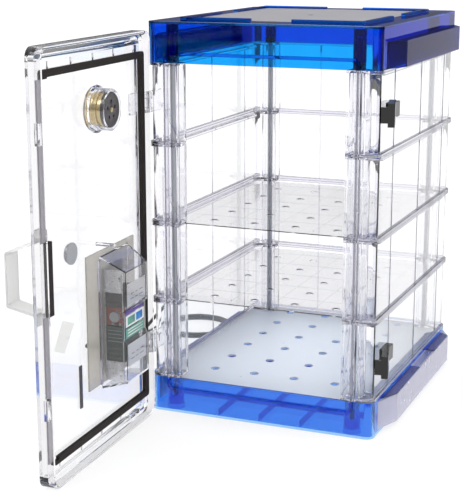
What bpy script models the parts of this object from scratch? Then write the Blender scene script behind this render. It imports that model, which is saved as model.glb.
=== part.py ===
"""Auto-desiccator cabinet: four clear moulded tiers between two blue caps, tied by steel rods.

A clear tray-shaped door hangs on the left. It carries a gasket, a dial hygrometer and an
electric dryer unit with its lead. Two black clips on the right wall hold the door shut.
Metres, +Z up, front at -Y, origin at the middle of the underside. The door stands open.
"""

import math

import bmesh
import bpy
from mathutils import Vector

# Driving dimensions.
WIDTH = 0.326
DEPTH = 0.398
HEIGHT = 0.549
GAP = 0.0003
CORNER = 0.012
CAP_WALL = 0.003

TIER_JOINTS = (0.0510, 0.1605, 0.2705, 0.3803, 0.4900)
TIER_WALL = 0.0025
WALL_INSET = 0.003
FLANGE = 0.0032
FLANGE_REACH = 0.0085
RAIL_REACH = 0.0055
RAIL_DROP = 0.0046

MOUTH = 0.1175
POST = 0.026
POST_DEPTH = 0.025
ROD_X = MOUTH + POST / 2
ROD_Y = DEPTH / 2 - WALL_INSET - POST_DEPTH / 2
ROD_RADIUS = 0.004
ROD_LOW = 0.0215
ROD_HIGH = 0.531

RIDGE_HALF = 0.1355
RIDGE_WIDTH = 0.004
RIDGE_LOW = 0.0322
RIDGE_HIGH = 0.5053
RIDGE_REACH = 0.0047
RIDGE_CORNER = 0.011

SKIRT_OUT = 0.178
SKIRT_START = 0.178
SKIRT_FRONT = 0.132
SKIRT_REAR = 0.159

SHELF_THICK = 0.0026
SHELF_HALF = (0.1535, 0.1705)
HOLE_RADIUS = 0.0048
HOLE_X = (-0.090, -0.030, 0.030, 0.090)
HOLE_FIRST_Y = -0.138
HOLE_STEP_Y = 0.0625
HOLE_ROWS = 6

DOOR_WIDTH = 0.2992
DOOR_LOW = 0.0015
DOOR_HIGH = 0.5345
DOOR_CORNER = 0.014
DOOR_RIM_Y = -DEPTH / 2 - 0.001
DOOR_DEEP = 0.020
TRAY_DEEP = 0.0095
PANEL = 0.003
SIDE_WALL = 0.0035
FRAME = 0.012
DOOR_OPEN = math.radians(88.11)
HINGE_X = -0.1561
HINGE_Y = -0.2048
HINGE_HEIGHTS = {"lower": 0.100, "upper": 0.437}
BARREL = 0.004
PIN_RADIUS = 0.002

LATCH_HEIGHTS = {"lower": 0.107, "upper": 0.437}
LATCH_X = 0.168
LATCH_Y = -0.160
LATCH_OPEN = math.radians(14)

GASKET = ((0.139, 0.0300, 0.5075), (0.128, 0.0385, 0.4990))
GASKET_FACE = 0.0040

GAUGE_U = 0.143
GAUGE_Z = 0.4465
PORT_U = 0.2225
PORT_Z = 0.280
STRIP_U = 0.2065
DRYER_U = (0.067, 0.1505)
DRYER_Z = (0.0834, 0.261)
DRYER_FACE_U = (0.0755, 0.140)
DRYER_FACE_Z = (0.091, 0.240)
DRYER_REACH = 0.025
GLAND_U = 0.100
GLAND_Z = 0.120

CORD_RADIUS = 0.0023
CORD_STEP = 0.012
COIL_AT = (-0.265, 0.185)
COIL_INNER = 0.0475
COIL_OUTER = 0.0625
COIL_HIGH = 0.0100
LEAD_ROUTE = (
    (-0.1831, -0.3123, 0.1200), (-0.1925, -0.3124, 0.1197), (-0.2030, -0.3090, 0.1186),
    (-0.2110, -0.3000, 0.1168), (-0.2145, -0.2870, 0.1145), (-0.2150, -0.2500, 0.1065),
    (-0.2120, -0.2150, 0.0990), (-0.2060, -0.1800, 0.0950),
    (-0.2010, -0.1400, 0.0980), (-0.2000, -0.0950, 0.1110), (-0.2010, -0.0600, 0.1190),
    (-0.2030, -0.0370, 0.1130), (-0.2040, -0.0260, 0.0900), (-0.2040, -0.0270, 0.0550),
    (-0.2045, -0.0250, 0.0240), (-0.2052, -0.0080, 0.0075), (-0.2060, 0.0200, 0.0026),
    (-0.2058, 0.0600, 0.0026), (-0.2052, 0.1000, 0.0026), (-0.2048, 0.1330, 0.0026),
    (-0.2048, 0.1602, 0.0026),
)
TAIL_ROUTE = (
    (-0.3227, 0.1545, 0.0070), (-0.3230, 0.1400, 0.0060), (-0.3234, 0.1250, 0.0062),
    (-0.3238, 0.1100, 0.0085), (-0.3240, 0.1003, 0.0095),
)
PLUG_AT = (-0.3240, 0.0680, 0.0095)

PARTS = None
CUTTERS = None


def clear_scene():
    for old in list(bpy.data.objects):
        bpy.data.objects.remove(old)


def new_collection(name):
    made = bpy.data.collections.new(name)
    bpy.context.scene.collection.children.link(made)
    return made


def material(name, colour, roughness, metallic=0.0, alpha=1.0):
    made = bpy.data.materials.new(name)
    made.use_nodes = True
    shader = made.node_tree.nodes["Principled BSDF"]
    shader.inputs["Base Color"].default_value = (*colour, 1.0)
    shader.inputs["Roughness"].default_value = roughness
    shader.inputs["Metallic"].default_value = metallic
    shader.inputs["Alpha"].default_value = alpha
    made.diffuse_color = (*colour, alpha)
    return made


def part(obj, look, axis=None):
    """Puts a finished solid in the parts' collection. A moving one is parented to its axis."""
    PARTS.objects.link(obj)
    obj.data.materials.append(look)
    for modifier in obj.modifiers:
        if modifier.type == "BOOLEAN":
            hang(modifier.object, axis)
    hang(obj, axis)
    if len(obj.data.polygons) > 20:
        obj.data.shade_smooth()
        obj.data.set_sharp_from_angle(angle=math.radians(35))
    return obj


def hang(obj, axis):
    """Parents obj to an axis empty that may be turned; obj was modelled with the axis at rest."""
    if axis is not None and obj.parent is None:
        obj.location = obj.location - axis.location
        obj.parent = axis


def axis_empty(name, at, turn):
    made = bpy.data.objects.new(name, None)
    made.location = at
    made.rotation_euler = (0.0, 0.0, turn)
    PARTS.objects.link(made)
    return made


def tool(obj):
    CUTTERS.objects.link(obj)
    obj.hide_render = True
    obj.display_type = "WIRE"
    return obj


def combine(obj, operation, *others):
    """Adds Boolean modifiers: operation is UNION or DIFFERENCE."""
    for other in others:
        if other.name not in CUTTERS.objects:
            tool(other)
        modifier = obj.modifiers.new(operation.title(), "BOOLEAN")
        modifier.operation = operation
        modifier.object = other
    return obj


def join(obj, *others):
    return combine(obj, "UNION", *others)


def cut(obj, *others):
    return combine(obj, "DIFFERENCE", *others)


def object_of(shape, name, at=(0, 0, 0)):
    mesh = bpy.data.meshes.new(name)
    shape.to_mesh(mesh)
    shape.free()
    made = bpy.data.objects.new(name, mesh)
    made.location = at
    return made


def box(name, low, high):
    shape = bmesh.new()
    bmesh.ops.create_cube(shape, size=1.0)
    size = [b - a for a, b in zip(low, high)]
    bmesh.ops.scale(shape, vec=size, verts=shape.verts)
    return object_of(shape, name, [(a + b) / 2 for a, b in zip(low, high)])


def cylinder(name, radius, low, high, direction="Z", sides=16, top_radius=None):
    """A cylinder or cone from point low to point high, which differ along direction only."""
    shape = bmesh.new()
    length = (Vector(high) - Vector(low)).length
    end = radius if top_radius is None else top_radius
    bmesh.ops.create_cone(
        shape, cap_ends=True, segments=sides, radius1=radius, radius2=end, depth=length
    )
    made = object_of(shape, name, (Vector(low) + Vector(high)) / 2)
    way = (Vector(high) - Vector(low)).normalized()
    turn = way.to_track_quat("Z", "X" if direction == "Y" else "Y")
    made.data.transform(turn.to_matrix().to_4x4())
    return made


def mesh_of(curve_object):
    """The curve as a mesh object with its caps welded on."""
    bpy.context.scene.collection.objects.link(curve_object)
    graph = bpy.context.evaluated_depsgraph_get()
    mesh = bpy.data.meshes.new_from_object(curve_object.evaluated_get(graph))
    shape = bmesh.new()
    shape.from_mesh(mesh)
    bmesh.ops.remove_doubles(shape, verts=shape.verts, dist=1e-6)
    bmesh.ops.recalc_face_normals(shape, faces=shape.faces)
    shape.to_mesh(mesh)
    shape.free()
    name = curve_object.name
    place = curve_object.matrix_world.copy()
    curve = curve_object.data
    bpy.data.objects.remove(curve_object)
    bpy.data.curves.remove(curve)
    made = bpy.data.objects.new(name, mesh)
    made.matrix_world = place
    return made


def plate(name, loops, low, high, plane="XY"):
    """A flat outline with holes, extruded from low to high along the plane's normal.

    In plane XY that is Z. In plane XZ it is the distance in front of y = 0, along -Y.
    In plane YZ it is X.
    """
    curve = bpy.data.curves.new(name, "CURVE")
    curve.dimensions = "2D"
    curve.fill_mode = "BOTH"
    curve.extrude = (high - low) / 2
    for loop in loops:
        spline = curve.splines.new("POLY")
        spline.points.add(len(loop) - 1)
        spline.use_cyclic_u = True
        for point, (a, b) in zip(spline.points, loop):
            point.co = (a, b, 0.0, 1.0)
    made = bpy.data.objects.new(name, curve)
    middle = (low + high) / 2
    if plane == "XY":
        made.location = (0, 0, middle)
    elif plane == "XZ":
        made.location = (0, -middle, 0)
        made.rotation_euler = (math.pi / 2, 0, 0)
    else:
        made.location = (middle, 0, 0)
        made.rotation_euler = (math.pi / 2, 0, math.pi / 2)
    bpy.context.view_layer.update()
    made = mesh_of(made)
    made.data.transform(made.rotation_euler.to_matrix().to_4x4())
    made.rotation_euler = (0, 0, 0)
    return made


def arc(centre, radius, start, end, steps):
    angles = [math.radians(start + (end - start) * i / steps) for i in range(steps + 1)]
    return [(centre[0] + radius * math.cos(t), centre[1] + radius * math.sin(t)) for t in angles]


def rounded(x0, y0, x1, y1, radius, steps=4):
    """A rectangle with round corners, anticlockwise."""
    points = arc((x1 - radius, y0 + radius), radius, -90, 0, steps)
    points += arc((x1 - radius, y1 - radius), radius, 0, 90, steps)
    points += arc((x0 + radius, y1 - radius), radius, 90, 180, steps)
    points += arc((x0 + radius, y0 + radius), radius, 180, 270, steps)
    return points


def circle(x, y, radius, sides=12):
    return arc((x, y), radius, 0, 360 - 360 / sides, sides - 1)


def rod_places():
    return {
        f"{'front' if y < 0 else 'rear'}_{'left' if x < 0 else 'right'}": (x, y)
        for x in (-ROD_X, ROD_X)
        for y in (-ROD_Y, ROD_Y)
    }


# ---------------------------------------------------------------- cabinet


def tier_wall_loops():
    """Plan of a tier's wall: a C open to the front, with a square tube at each corner."""
    out_x = WIDTH / 2 - WALL_INSET
    out_y = DEPTH / 2 - WALL_INSET
    in_x = out_x - TIER_WALL
    in_y = out_y - TIER_WALL
    tube_x = MOUTH + POST
    tube_y = out_y - POST_DEPTH
    right = [(MOUTH, -out_y)]
    right += arc((out_x - CORNER, -out_y + CORNER), CORNER, -90, 0, 4)
    right += arc((out_x - CORNER, out_y - CORNER), CORNER, 0, 90, 4)
    outer = right + [(-x, y) for x, y in reversed(right)]
    bend = CORNER - TIER_WALL
    left = [(-MOUTH, -tube_y), (-tube_x, -tube_y), (-tube_x, -in_y)]
    left += arc((-in_x + bend, -in_y + bend), bend, 270, 180, 4)
    left += arc((-in_x + bend, in_y - bend), bend, 180, 90, 4)
    left += [(-tube_x, in_y), (-tube_x, tube_y), (-MOUTH, tube_y), (-MOUTH, in_y)]
    inner = left + [(-x, y) for x, y in reversed(left)]
    bores = []
    for x, y in rod_places().values():
        half = (POST / 2 - TIER_WALL, POST_DEPTH / 2 - TIER_WALL)
        bores.append(rounded(x - half[0], y - half[1], x + half[0], y + half[1], 0.002, 1))
    return [outer + inner] + bores


def flange_loops():
    """Plan of a tier's flange: a C round the wall, solid at the corners but for the rod holes."""
    out_x = WIDTH / 2
    out_y = DEPTH / 2
    mouth = MOUTH + 0.0005
    tube_y = ROD_Y - POST_DEPTH / 2 - 0.0005
    in_x = out_x - FLANGE_REACH
    in_y = out_y - FLANGE_REACH - 0.001
    right = [(mouth, -out_y)]
    right += arc((out_x - CORNER, -out_y + CORNER), CORNER, -90, 0, 4)
    right += arc((out_x - CORNER, out_y - CORNER), CORNER, 0, 90, 4)
    outer = right + [(-x, y) for x, y in reversed(right)]
    left = [(-mouth, -tube_y), (-in_x, -tube_y), (-in_x, tube_y), (-mouth, tube_y)]
    left.append((-mouth, in_y))
    inner = left + [(-x, y) for x, y in reversed(left)]
    rod_holes = [circle(x, y, ROD_RADIUS + 0.0005, 10) for x, y in rod_places().values()]
    return [outer + inner] + rod_holes


def tier(number, look):
    low = TIER_JOINTS[number - 1] + GAP
    high = TIER_JOINTS[number]
    name = f"tier_{number}"
    embed = 0.0012
    made = plate(name, tier_wall_loops(), low + embed, high - embed)
    join(made, plate(name + "_flange_low", flange_loops(), low, low + FLANGE))
    join(made, plate(name + "_flange_high", flange_loops(), high - FLANGE, high))
    front = -DEPTH / 2 + WALL_INSET + 0.001
    wall_face = WIDTH / 2 - WALL_INSET - TIER_WALL
    for side, tag in ((-1, "left"), (1, "right")):
        edges = sorted((side * (RIDGE_HALF - RIDGE_WIDTH), side * RIDGE_HALF))
        ridge_low = (edges[0], -DEPTH / 2 - RIDGE_REACH, low + GAP)
        join(made, box(f"{name}_ridge_{tag}", ridge_low, (edges[1], front, high - GAP)))
        ends = sorted((side * (wall_face - RAIL_REACH - 0.003), side * (wall_face + 0.001)))
        rail_low = (ends[0], -0.1695, high - RAIL_DROP - FLANGE)
        join(made, box(f"{name}_rail_{tag}", rail_low, (ends[1], 0.1695, high - RAIL_DROP)))
    part(made, look)


def shelf(name, top, half, low_y, high_y, look, rod_holes=False):
    """A perforated plate whose top face is at height top."""
    outline = rounded(-half, low_y, half, high_y, CORNER, 3)
    rows = [HOLE_FIRST_Y + HOLE_STEP_Y * i for i in range(HOLE_ROWS)]
    holes = [circle(x, y, HOLE_RADIUS, 8) for x in HOLE_X for y in rows if y < high_y - 0.01]
    if rod_holes:
        holes += [circle(x, y, 0.0102, 10) for x, y in rod_places().values()]
    part(plate(name, [outline] + holes, top - SHELF_THICK, top), look)


def skirt(name, low, high, side):
    """A hand-hold along one side of a cap: a hollow ledge open beneath."""
    wall = WIDTH / 2 - 0.0015
    body = [(wall, -SKIRT_START), (SKIRT_OUT, -SKIRT_FRONT), (SKIRT_OUT, SKIRT_REAR)]
    body += [(wall, SKIRT_START + 0.012)]
    thin = 0.0025
    inside = WIDTH / 2 + 0.0005
    pocket = [(inside, -SKIRT_START + 0.008), (SKIRT_OUT - thin, -SKIRT_FRONT)]
    pocket += [(SKIRT_OUT - thin, SKIRT_REAR), (inside, SKIRT_START + 0.003)]
    turned = [[(side * x, y) for x, y in loop] for loop in (body, pocket)]
    made = plate(name, [turned[0]], low, high)
    hollow = plate(name + "_pocket", [turned[1]], low - 0.001, high - thin)
    return made, hollow


def ridge_loop(low, high, opened):
    """The cap's share of the sealing ridge: a U, upright or upside down, in the XZ plane."""
    outer = RIDGE_HALF
    inner = RIDGE_HALF - RIDGE_WIDTH
    big = RIDGE_CORNER
    small = RIDGE_CORNER - RIDGE_WIDTH
    if opened == "above":
        points = [(-outer, high)] + arc((-outer + big, low + big), big, 180, 270, 4)
        points += arc((outer - big, low + big), big, 270, 360, 4) + [(outer, high), (inner, high)]
        edge = low + RIDGE_WIDTH
        points += arc((inner - small, edge + small), small, 360, 270, 4)
        points += arc((-inner + small, edge + small), small, 270, 180, 4) + [(-inner, high)]
        return points
    points = [(outer, low)] + arc((outer - big, high - big), big, 0, 90, 4)
    points += arc((-outer + big, high - big), big, 90, 180, 4) + [(-outer, low), (-inner, low)]
    edge = high - RIDGE_WIDTH
    points += arc((-inner + small, edge - small), small, 180, 90, 4)
    points += arc((inner - small, edge - small), small, 90, 0, 4) + [(inner, low)]
    return points


def cap_blank(name, low, high, pocket_low, pocket_high):
    """A rounded block hollowed from one end."""
    half_x = WIDTH / 2
    half_y = DEPTH / 2
    made = plate(name, [rounded(-half_x, -half_y, half_x, half_y, CORNER, 5)], low, high)
    in_x = half_x - CAP_WALL
    in_y = half_y - CAP_WALL
    inside = rounded(-in_x, -in_y, in_x, in_y, CORNER - CAP_WALL, 5)
    cut(made, plate(name + "_hollow", [inside], pocket_low, pocket_high))
    return made


def base_cap(look):
    top = TIER_JOINTS[0]
    made = cap_blank("base_cap", 0.0, top, CAP_WALL, top + 0.01)
    for side, tag in ((-1, "left"), (1, "right")):
        body, hollow = skirt(f"base_skirt_{tag}", 0.007, 0.046, side)
        join(made, body)
        cut(made, hollow)
        window = sorted((side * (WIDTH / 2 + 0.0008), side * (SKIRT_OUT - 0.0025)))
        cut(made, box(f"base_window_{tag}", (window[0], -0.009, 0.03), (window[1], 0.074, 0.06)))
    front = DEPTH / 2 - 0.001
    loop = ridge_loop(RIDGE_LOW, top - GAP, "above")
    join(made, plate("base_ridge", [loop], front, DEPTH / 2 + RIDGE_REACH, "XZ"))
    for tag, (x, y) in rod_places().items():
        boss_ends = ((x, y, 0.002), (x, y, 0.040))
        join(made, cylinder(f"base_boss_{tag}", 0.0125, *boss_ends, top_radius=0.009))
        join(made, cylinder(f"base_cup_{tag}", 0.0098, (x, y, 0.038), (x, y, 0.0478)))
        cut(made, cylinder(f"base_bore_{tag}", ROD_RADIUS + 0.0005, (x, y, 0.021), (x, y, 0.06)))
    part(made, look)


def top_cap(look):
    low = TIER_JOINTS[-1] + GAP
    plate_top = HEIGHT - 0.004
    made = cap_blank("top_cap", low, plate_top, low - 0.01, plate_top - CAP_WALL)
    for side, tag in ((-1, "left"), (1, "right")):
        body, hollow = skirt(f"top_skirt_{tag}", low + GAP, 0.5245, side)
        join(made, body)
        cut(made, hollow)
    front = DEPTH / 2 - 0.001
    loop = ridge_loop(low + GAP, RIDGE_HIGH, "below")
    join(made, plate("top_ridge", [loop], front, DEPTH / 2 + RIDGE_REACH, "XZ"))
    for tag, (x, y) in rod_places().items():
        join(made, cylinder(f"top_boss_{tag}", 0.0085, (x, y, 0.4995), (x, y, plate_top - 0.002)))
        cut(made, cylinder(f"top_bore_{tag}", ROD_RADIUS + 0.0005, (x, y, 0.48), (x, y, 0.5325)))
    rib_x = 0.130
    rib_y = 0.160
    gap = 0.029
    thick = 0.006
    for side in (-1, 1):
        for end in (-1, 1):
            tag = f"{'l' if side < 0 else 'r'}{'f' if end < 0 else 'b'}"
            x0, x1 = sorted((side * gap, side * rib_x))
            y0, y1 = sorted((end * (rib_y - thick), end * rib_y))
            join(made, box(f"rib_x_{tag}", (x0, y0, plate_top - 0.001), (x1, y1, HEIGHT)))
            x0, x1 = sorted((side * (rib_x - thick), side * rib_x))
            y0, y1 = sorted((end * gap, end * (rib_y - 0.002)))
            join(made, box(f"rib_y_{tag}", (x0, y0, plate_top - 0.0012), (x1, y1, HEIGHT - 0.0001)))
    part(made, look)


def tie_rods(steel, dark):
    for tag, (x, y) in rod_places().items():
        rod_ends = ((x, y, ROD_LOW), (x, y, ROD_HIGH))
        part(cylinder(f"tie_rod_{tag}", ROD_RADIUS, *rod_ends, sides=10), steel)
        low = TIER_JOINTS[-1] + GAP
        nut = cylinder(f"rod_nut_{tag}", 0.0085, (x, y, low), (x, y, low + 0.0085), sides=6)
        bore = cylinder(f"rod_nut_bore_{tag}", ROD_RADIUS + GAP, (x, y, 0.48), (x, y, 0.51), sides=10)
        part(cut(nut, bore), dark)


def hinge(tag, clear, steel, door_axis):
    height = HINGE_HEIGHTS[tag]
    x, y = HINGE_X, HINGE_Y
    wall = -WIDTH / 2 + WALL_INSET - GAP
    out = wall - 0.004
    reach = 0.014
    knuckle = 0.006
    arm_low = (out, y + 0.0008, height - reach)
    made = box(f"hinge_bracket_{tag}", arm_low, (wall, -0.150, height + reach))
    neck_low = (out + 0.0002, y - 0.0010, height - knuckle + 0.0002)
    join(made, box(f"bracket_neck_{tag}", neck_low, (x + 0.001, y + 0.003, height + knuckle - 0.0002)))
    low = (x, y, height - knuckle)
    high = (x, y, height + knuckle)
    join(made, cylinder(f"bracket_barrel_{tag}", BARREL, low, high, sides=14))
    bore = ((x, y, height - 0.02), (x, y, height + 0.02))
    cut(made, cylinder(f"bracket_bore_{tag}", PIN_RADIUS + GAP, *bore, sides=12))
    part(made, clear)

    pin_ends = ((x, y, height - 0.0125), (x, y, height + 0.0140))
    pin = cylinder(f"hinge_pin_{tag}", PIN_RADIUS, *pin_ends, sides=12)
    head_low = (x, y, height + 0.0123)
    head = cylinder(f"hinge_pin_head_{tag}", 0.0032, head_low, (x, y, height + 0.0145), sides=12)
    part(join(pin, head), steel)

    edge = -DOOR_WIDTH / 2 - GAP
    face = DOOR_RIM_Y - DOOR_DEEP - GAP
    leaf_low = (edge - 0.0041, face - 0.003, height - 0.014)
    leaf = box(f"hinge_leaf_{tag}", leaf_low, (edge + 0.024, face, height + 0.014))
    flank_low = (edge - 0.0040, face - 0.001, height - 0.0138)
    join(leaf, box(f"leaf_flank_{tag}", flank_low, (edge, y - 0.0050, height + 0.0138)))
    for name, start, end in (("over", knuckle + GAP, 0.012), ("under", -0.012, -knuckle - GAP)):
        arm_low = (x, y - 0.0060, height + start + 0.0001)
        arm_high = (edge - 0.0002, y + 0.001, height + end - 0.0001)
        join(leaf, box(f"leaf_arm_{name}_{tag}", arm_low, arm_high))
        span = ((x, y, height + start), (x, y, height + end))
        join(leaf, cylinder(f"leaf_barrel_{name}_{tag}", BARREL, *span, sides=14))
    cut(leaf, cylinder(f"leaf_bore_{tag}", PIN_RADIUS + GAP, *bore, sides=12))
    part(leaf, clear, door_axis)


def latch(tag, black, steel):
    z = LATCH_HEIGHTS[tag]
    wall = WIDTH / 2 - WALL_INSET + GAP
    ear = 0.0045
    base = box(f"latch_base_{tag}", (wall, LATCH_Y - ear, z - 0.010), (wall + 0.003, -0.131, z + 0.010))
    block_low = (wall + 0.0002, LATCH_Y + 0.008, z - 0.0098)
    join(base, box(f"latch_block_{tag}", block_low, (wall + 0.0097, -0.1312, z + 0.0098)))
    for name, start, end in (("over", 0.0070, 0.0099), ("under", -0.0099, -0.0070)):
        low = (wall + 0.0003, LATCH_Y - ear + 0.0002, z + start)
        join(base, box(f"latch_ear_{name}_{tag}", low, (LATCH_X + 0.0038, LATCH_Y + ear, z + end)))
    bore = ((LATCH_X, LATCH_Y, z - 0.02), (LATCH_X, LATCH_Y, z + 0.02))
    cut(base, cylinder(f"latch_base_bore_{tag}", 0.0019, *bore, sides=10))
    part(base, black)

    pin_ends = ((LATCH_X, LATCH_Y, z - 0.0105), (LATCH_X, LATCH_Y, z + 0.0105))
    part(cylinder(f"latch_pin_{tag}", 0.0016, *pin_ends, sides=10), steel)

    axis = axis_empty(f"latch_axis_{tag}", (LATCH_X, LATCH_Y, z), LATCH_OPEN)
    inner = 0.1640
    outer = inner + 0.009
    tip = -0.2105
    clip = box(f"latch_clip_{tag}", (inner, tip, z - 0.015), (outer, LATCH_Y - 0.007, z + 0.015))
    hollow_low = (inner - 0.001, tip + 0.004, z - 0.012)
    cut(clip, box(f"clip_hollow_{tag}", hollow_low, (outer - 0.003, LATCH_Y - 0.0095, z + 0.012)))
    hook_low = (0.1555, tip + 0.0001, z - 0.010)
    join(clip, box(f"clip_hook_{tag}", hook_low, (inner + 0.002, tip + 0.0037, z + 0.010)))
    neck_low = (LATCH_X - 0.001, LATCH_Y - 0.0085, z - 0.0064)
    join(clip, box(f"clip_neck_{tag}", neck_low, (outer - 0.0002, LATCH_Y + 0.0005, z + 0.0064)))
    barrel = ((LATCH_X, LATCH_Y, z - 0.0067), (LATCH_X, LATCH_Y, z + 0.0067))
    join(clip, cylinder(f"clip_barrel_{tag}", 0.0043, *barrel, sides=14))
    cut(clip, cylinder(f"clip_bore_{tag}", 0.0019, *bore, sides=10))
    part(clip, black, axis)


# ---------------------------------------------------------------- door


def door_x(u):
    """X of a point u metres from the hinge edge, with the door shut."""
    return u - DOOR_WIDTH / 2


def door_slab(name, loops, near, far):
    """A plate parallel to the shut door, from depth near to depth far in front of its rim plane."""
    return plate(name, loops, -DOOR_RIM_Y + near, -DOOR_RIM_Y + far, "XZ")


def door_box(name, u_span, depths, z_span):
    xs = [door_x(u) for u in u_span]
    ys = [DOOR_RIM_Y - d for d in depths]
    return box(name, (xs[0], min(ys), z_span[0]), (xs[1], max(ys), z_span[1]))


def door_round(name, u, z, radius, depths, sides=24, far_radius=None):
    """A cylinder square to the door, from the first depth to the second."""
    ends = [(door_x(u), DOOR_RIM_Y - d, z) for d in depths]
    return cylinder(name, radius, ends[0], ends[1], "Y", sides, far_radius)


def door_shell(look, axis):
    half = DOOR_WIDTH / 2

    def inset(by, radius):
        return rounded(-half + by, DOOR_LOW + by, half - by, DOOR_HIGH - by, radius, 5)

    made = door_slab("door_shell", [inset(0.0, DOOR_CORNER)], 0.0, DOOR_DEEP)
    tray = door_slab("door_tray", [inset(SIDE_WALL, DOOR_CORNER - SIDE_WALL)], -0.001, TRAY_DEEP)
    recess = door_slab("door_recess", [inset(FRAME, 0.006)], TRAY_DEEP + PANEL, DOOR_DEEP + 0.001)
    cut(made, tray, recess)
    through = (-0.001, DOOR_DEEP + 0.001)
    cut(made, door_round("gauge_hole", GAUGE_U, GAUGE_Z, 0.0235, through))
    cut(made, door_round("port_hole", PORT_U, PORT_Z, 0.0120, through))
    cut(made, door_round("gland_hole", GLAND_U, GLAND_Z, 0.0060, through, 12))
    for tag, z in LATCH_HEIGHTS.items():
        keeper = ((DOOR_WIDTH - 0.0015, DOOR_WIDTH + 0.0084), (0.001, 0.006), (z - 0.013, z + 0.013))
        join(made, door_box(f"keeper_{tag}", *keeper))
    part(made, look, axis)


def door_gasket(look, axis):
    (outer, low, high), (inner, low_in, high_in) = GASKET
    loops = [rounded(-outer, low, outer, high, 0.004, 2)]
    loops.append(rounded(-inner, low_in, inner, high_in, 0.002, 1))
    part(door_slab("door_gasket", loops, GASKET_FACE, TRAY_DEEP - GAP), look, axis)


def door_handle(look, axis):
    """A strap bent to a trapezoid, with a foot at each end, in profile from the side."""
    feet = DOOR_DEEP + GAP
    thick = 0.003
    reach = 0.060
    outer = [(feet, 0.204), (feet + thick, 0.204), (feet + thick, 0.2175), (reach, 0.2255)]
    outer += [(reach, 0.2925), (feet + thick, 0.308), (feet + thick, 0.3215), (feet, 0.3215)]
    inner = [(feet, 0.3055), (feet + 0.0005, 0.3050), (reach - thick, 0.2900)]
    inner += [(reach - thick, 0.2285), (feet + 0.0005, 0.2205), (feet, 0.2200)]
    profile = [(DOOR_RIM_Y - d, z) for d, z in outer + inner]
    made = plate("door_handle", [profile], door_x(0.266), door_x(0.293), "YZ")
    part(made, look, axis)


def turned(name, u, z, profile, sides=28):
    """A turned piece on an axis square to the door. The profile's points are (depth, radius).

    It runs along the outside from the cabinet's side towards the room, then back inside.
    """
    mesh = bpy.data.meshes.new(name)
    count = len(profile)
    points = [(radius, 0.0, -depth) for depth, radius in profile]
    mesh.from_pydata(points, [(i, (i + 1) % count) for i in range(count)], [])
    made = bpy.data.objects.new(name, mesh)
    made.location = (door_x(u), DOOR_RIM_Y, z)
    made.rotation_euler = (-math.pi / 2, 0, 0)
    screw = made.modifiers.new("Screw", "SCREW")
    screw.axis = "Z"
    screw.steps = sides
    screw.render_steps = sides
    screw.use_merge_vertices = True
    screw.merge_threshold = 0.00005
    return made


def hygrometer(looks, axis):
    clear, brass, dark, white, steel = looks
    at = (GAUGE_U, GAUGE_Z)
    panel = TRAY_DEEP
    out = panel + PANEL
    collar = [(-0.0125, 0.0235), (-0.0125, 0.026), (panel - 0.0023, 0.026), (panel - 0.0023, 0.030)]
    collar += [(panel - GAP, 0.030), (panel - GAP, 0.0235)]
    part(turned("hygrometer_collar", *at, collar), clear, axis)
    case = [(-0.0060, 0.0), (-0.0060, 0.0230), (out + GAP, 0.0230), (out + GAP, 0.0280)]
    case += [(out + 0.0045, 0.0280), (out + 0.0045, 0.0215), (-0.0040, 0.0215), (-0.0040, 0.0)]
    part(turned("hygrometer_case", *at, case), brass, axis)
    back = door_round("hygrometer_back", *at, 0.0222, (-0.0063, -0.0120), 24)
    part(back, dark, axis)
    dial = door_round("hygrometer_dial", *at, 0.0211, (0.0080, 0.0090), 24)
    cut(dial, door_round("hygrometer_dial_bore", *at, 0.0016, (0.0, 0.02), 10))
    part(dial, white, axis)
    arbor = door_round("hygrometer_arbor", *at, 0.0012, (-0.0037, 0.0125), 10)
    part(arbor, steel, axis)
    part(door_round("hygrometer_lens", *at, 0.0212, (0.0145, 0.0160), 24), clear, axis)


def gauge_needle(look, axis):
    """The pointer with its tail. Its bore runs on the arbor."""
    half = 0.0007
    far = DOOR_RIM_Y - 0.0106
    x = door_x(GAUGE_U)
    low = (x - half, far, GAUGE_Z - 0.0085)
    made = box("hygrometer_needle", low, (x + half, far + 0.0008, GAUGE_Z + 0.0160))
    hub = door_round("needle_hub", GAUGE_U, GAUGE_Z, 0.0026, (0.0096, 0.0110), 12)
    tail = door_round("needle_tail", GAUGE_U, GAUGE_Z - 0.0105, 0.0024, (0.0097, 0.0107), 12)
    join(made, hub, tail)
    cut(made, door_round("needle_bore", GAUGE_U, GAUGE_Z, 0.0015, (0.0, 0.02), 10))
    part(made, look, axis)


def port_plug(look, axis):
    profile = [(TRAY_DEEP - 0.0028, 0.0), (TRAY_DEEP - 0.0028, 0.0138), (TRAY_DEEP - GAP, 0.0138)]
    profile += [(TRAY_DEEP - GAP, 0.0117), (TRAY_DEEP + PANEL + 0.002, 0.0117)]
    profile += [(TRAY_DEEP + PANEL + 0.002, 0.0)]
    part(turned("port_plug", PORT_U, PORT_Z, profile, 20), look, axis)


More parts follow.
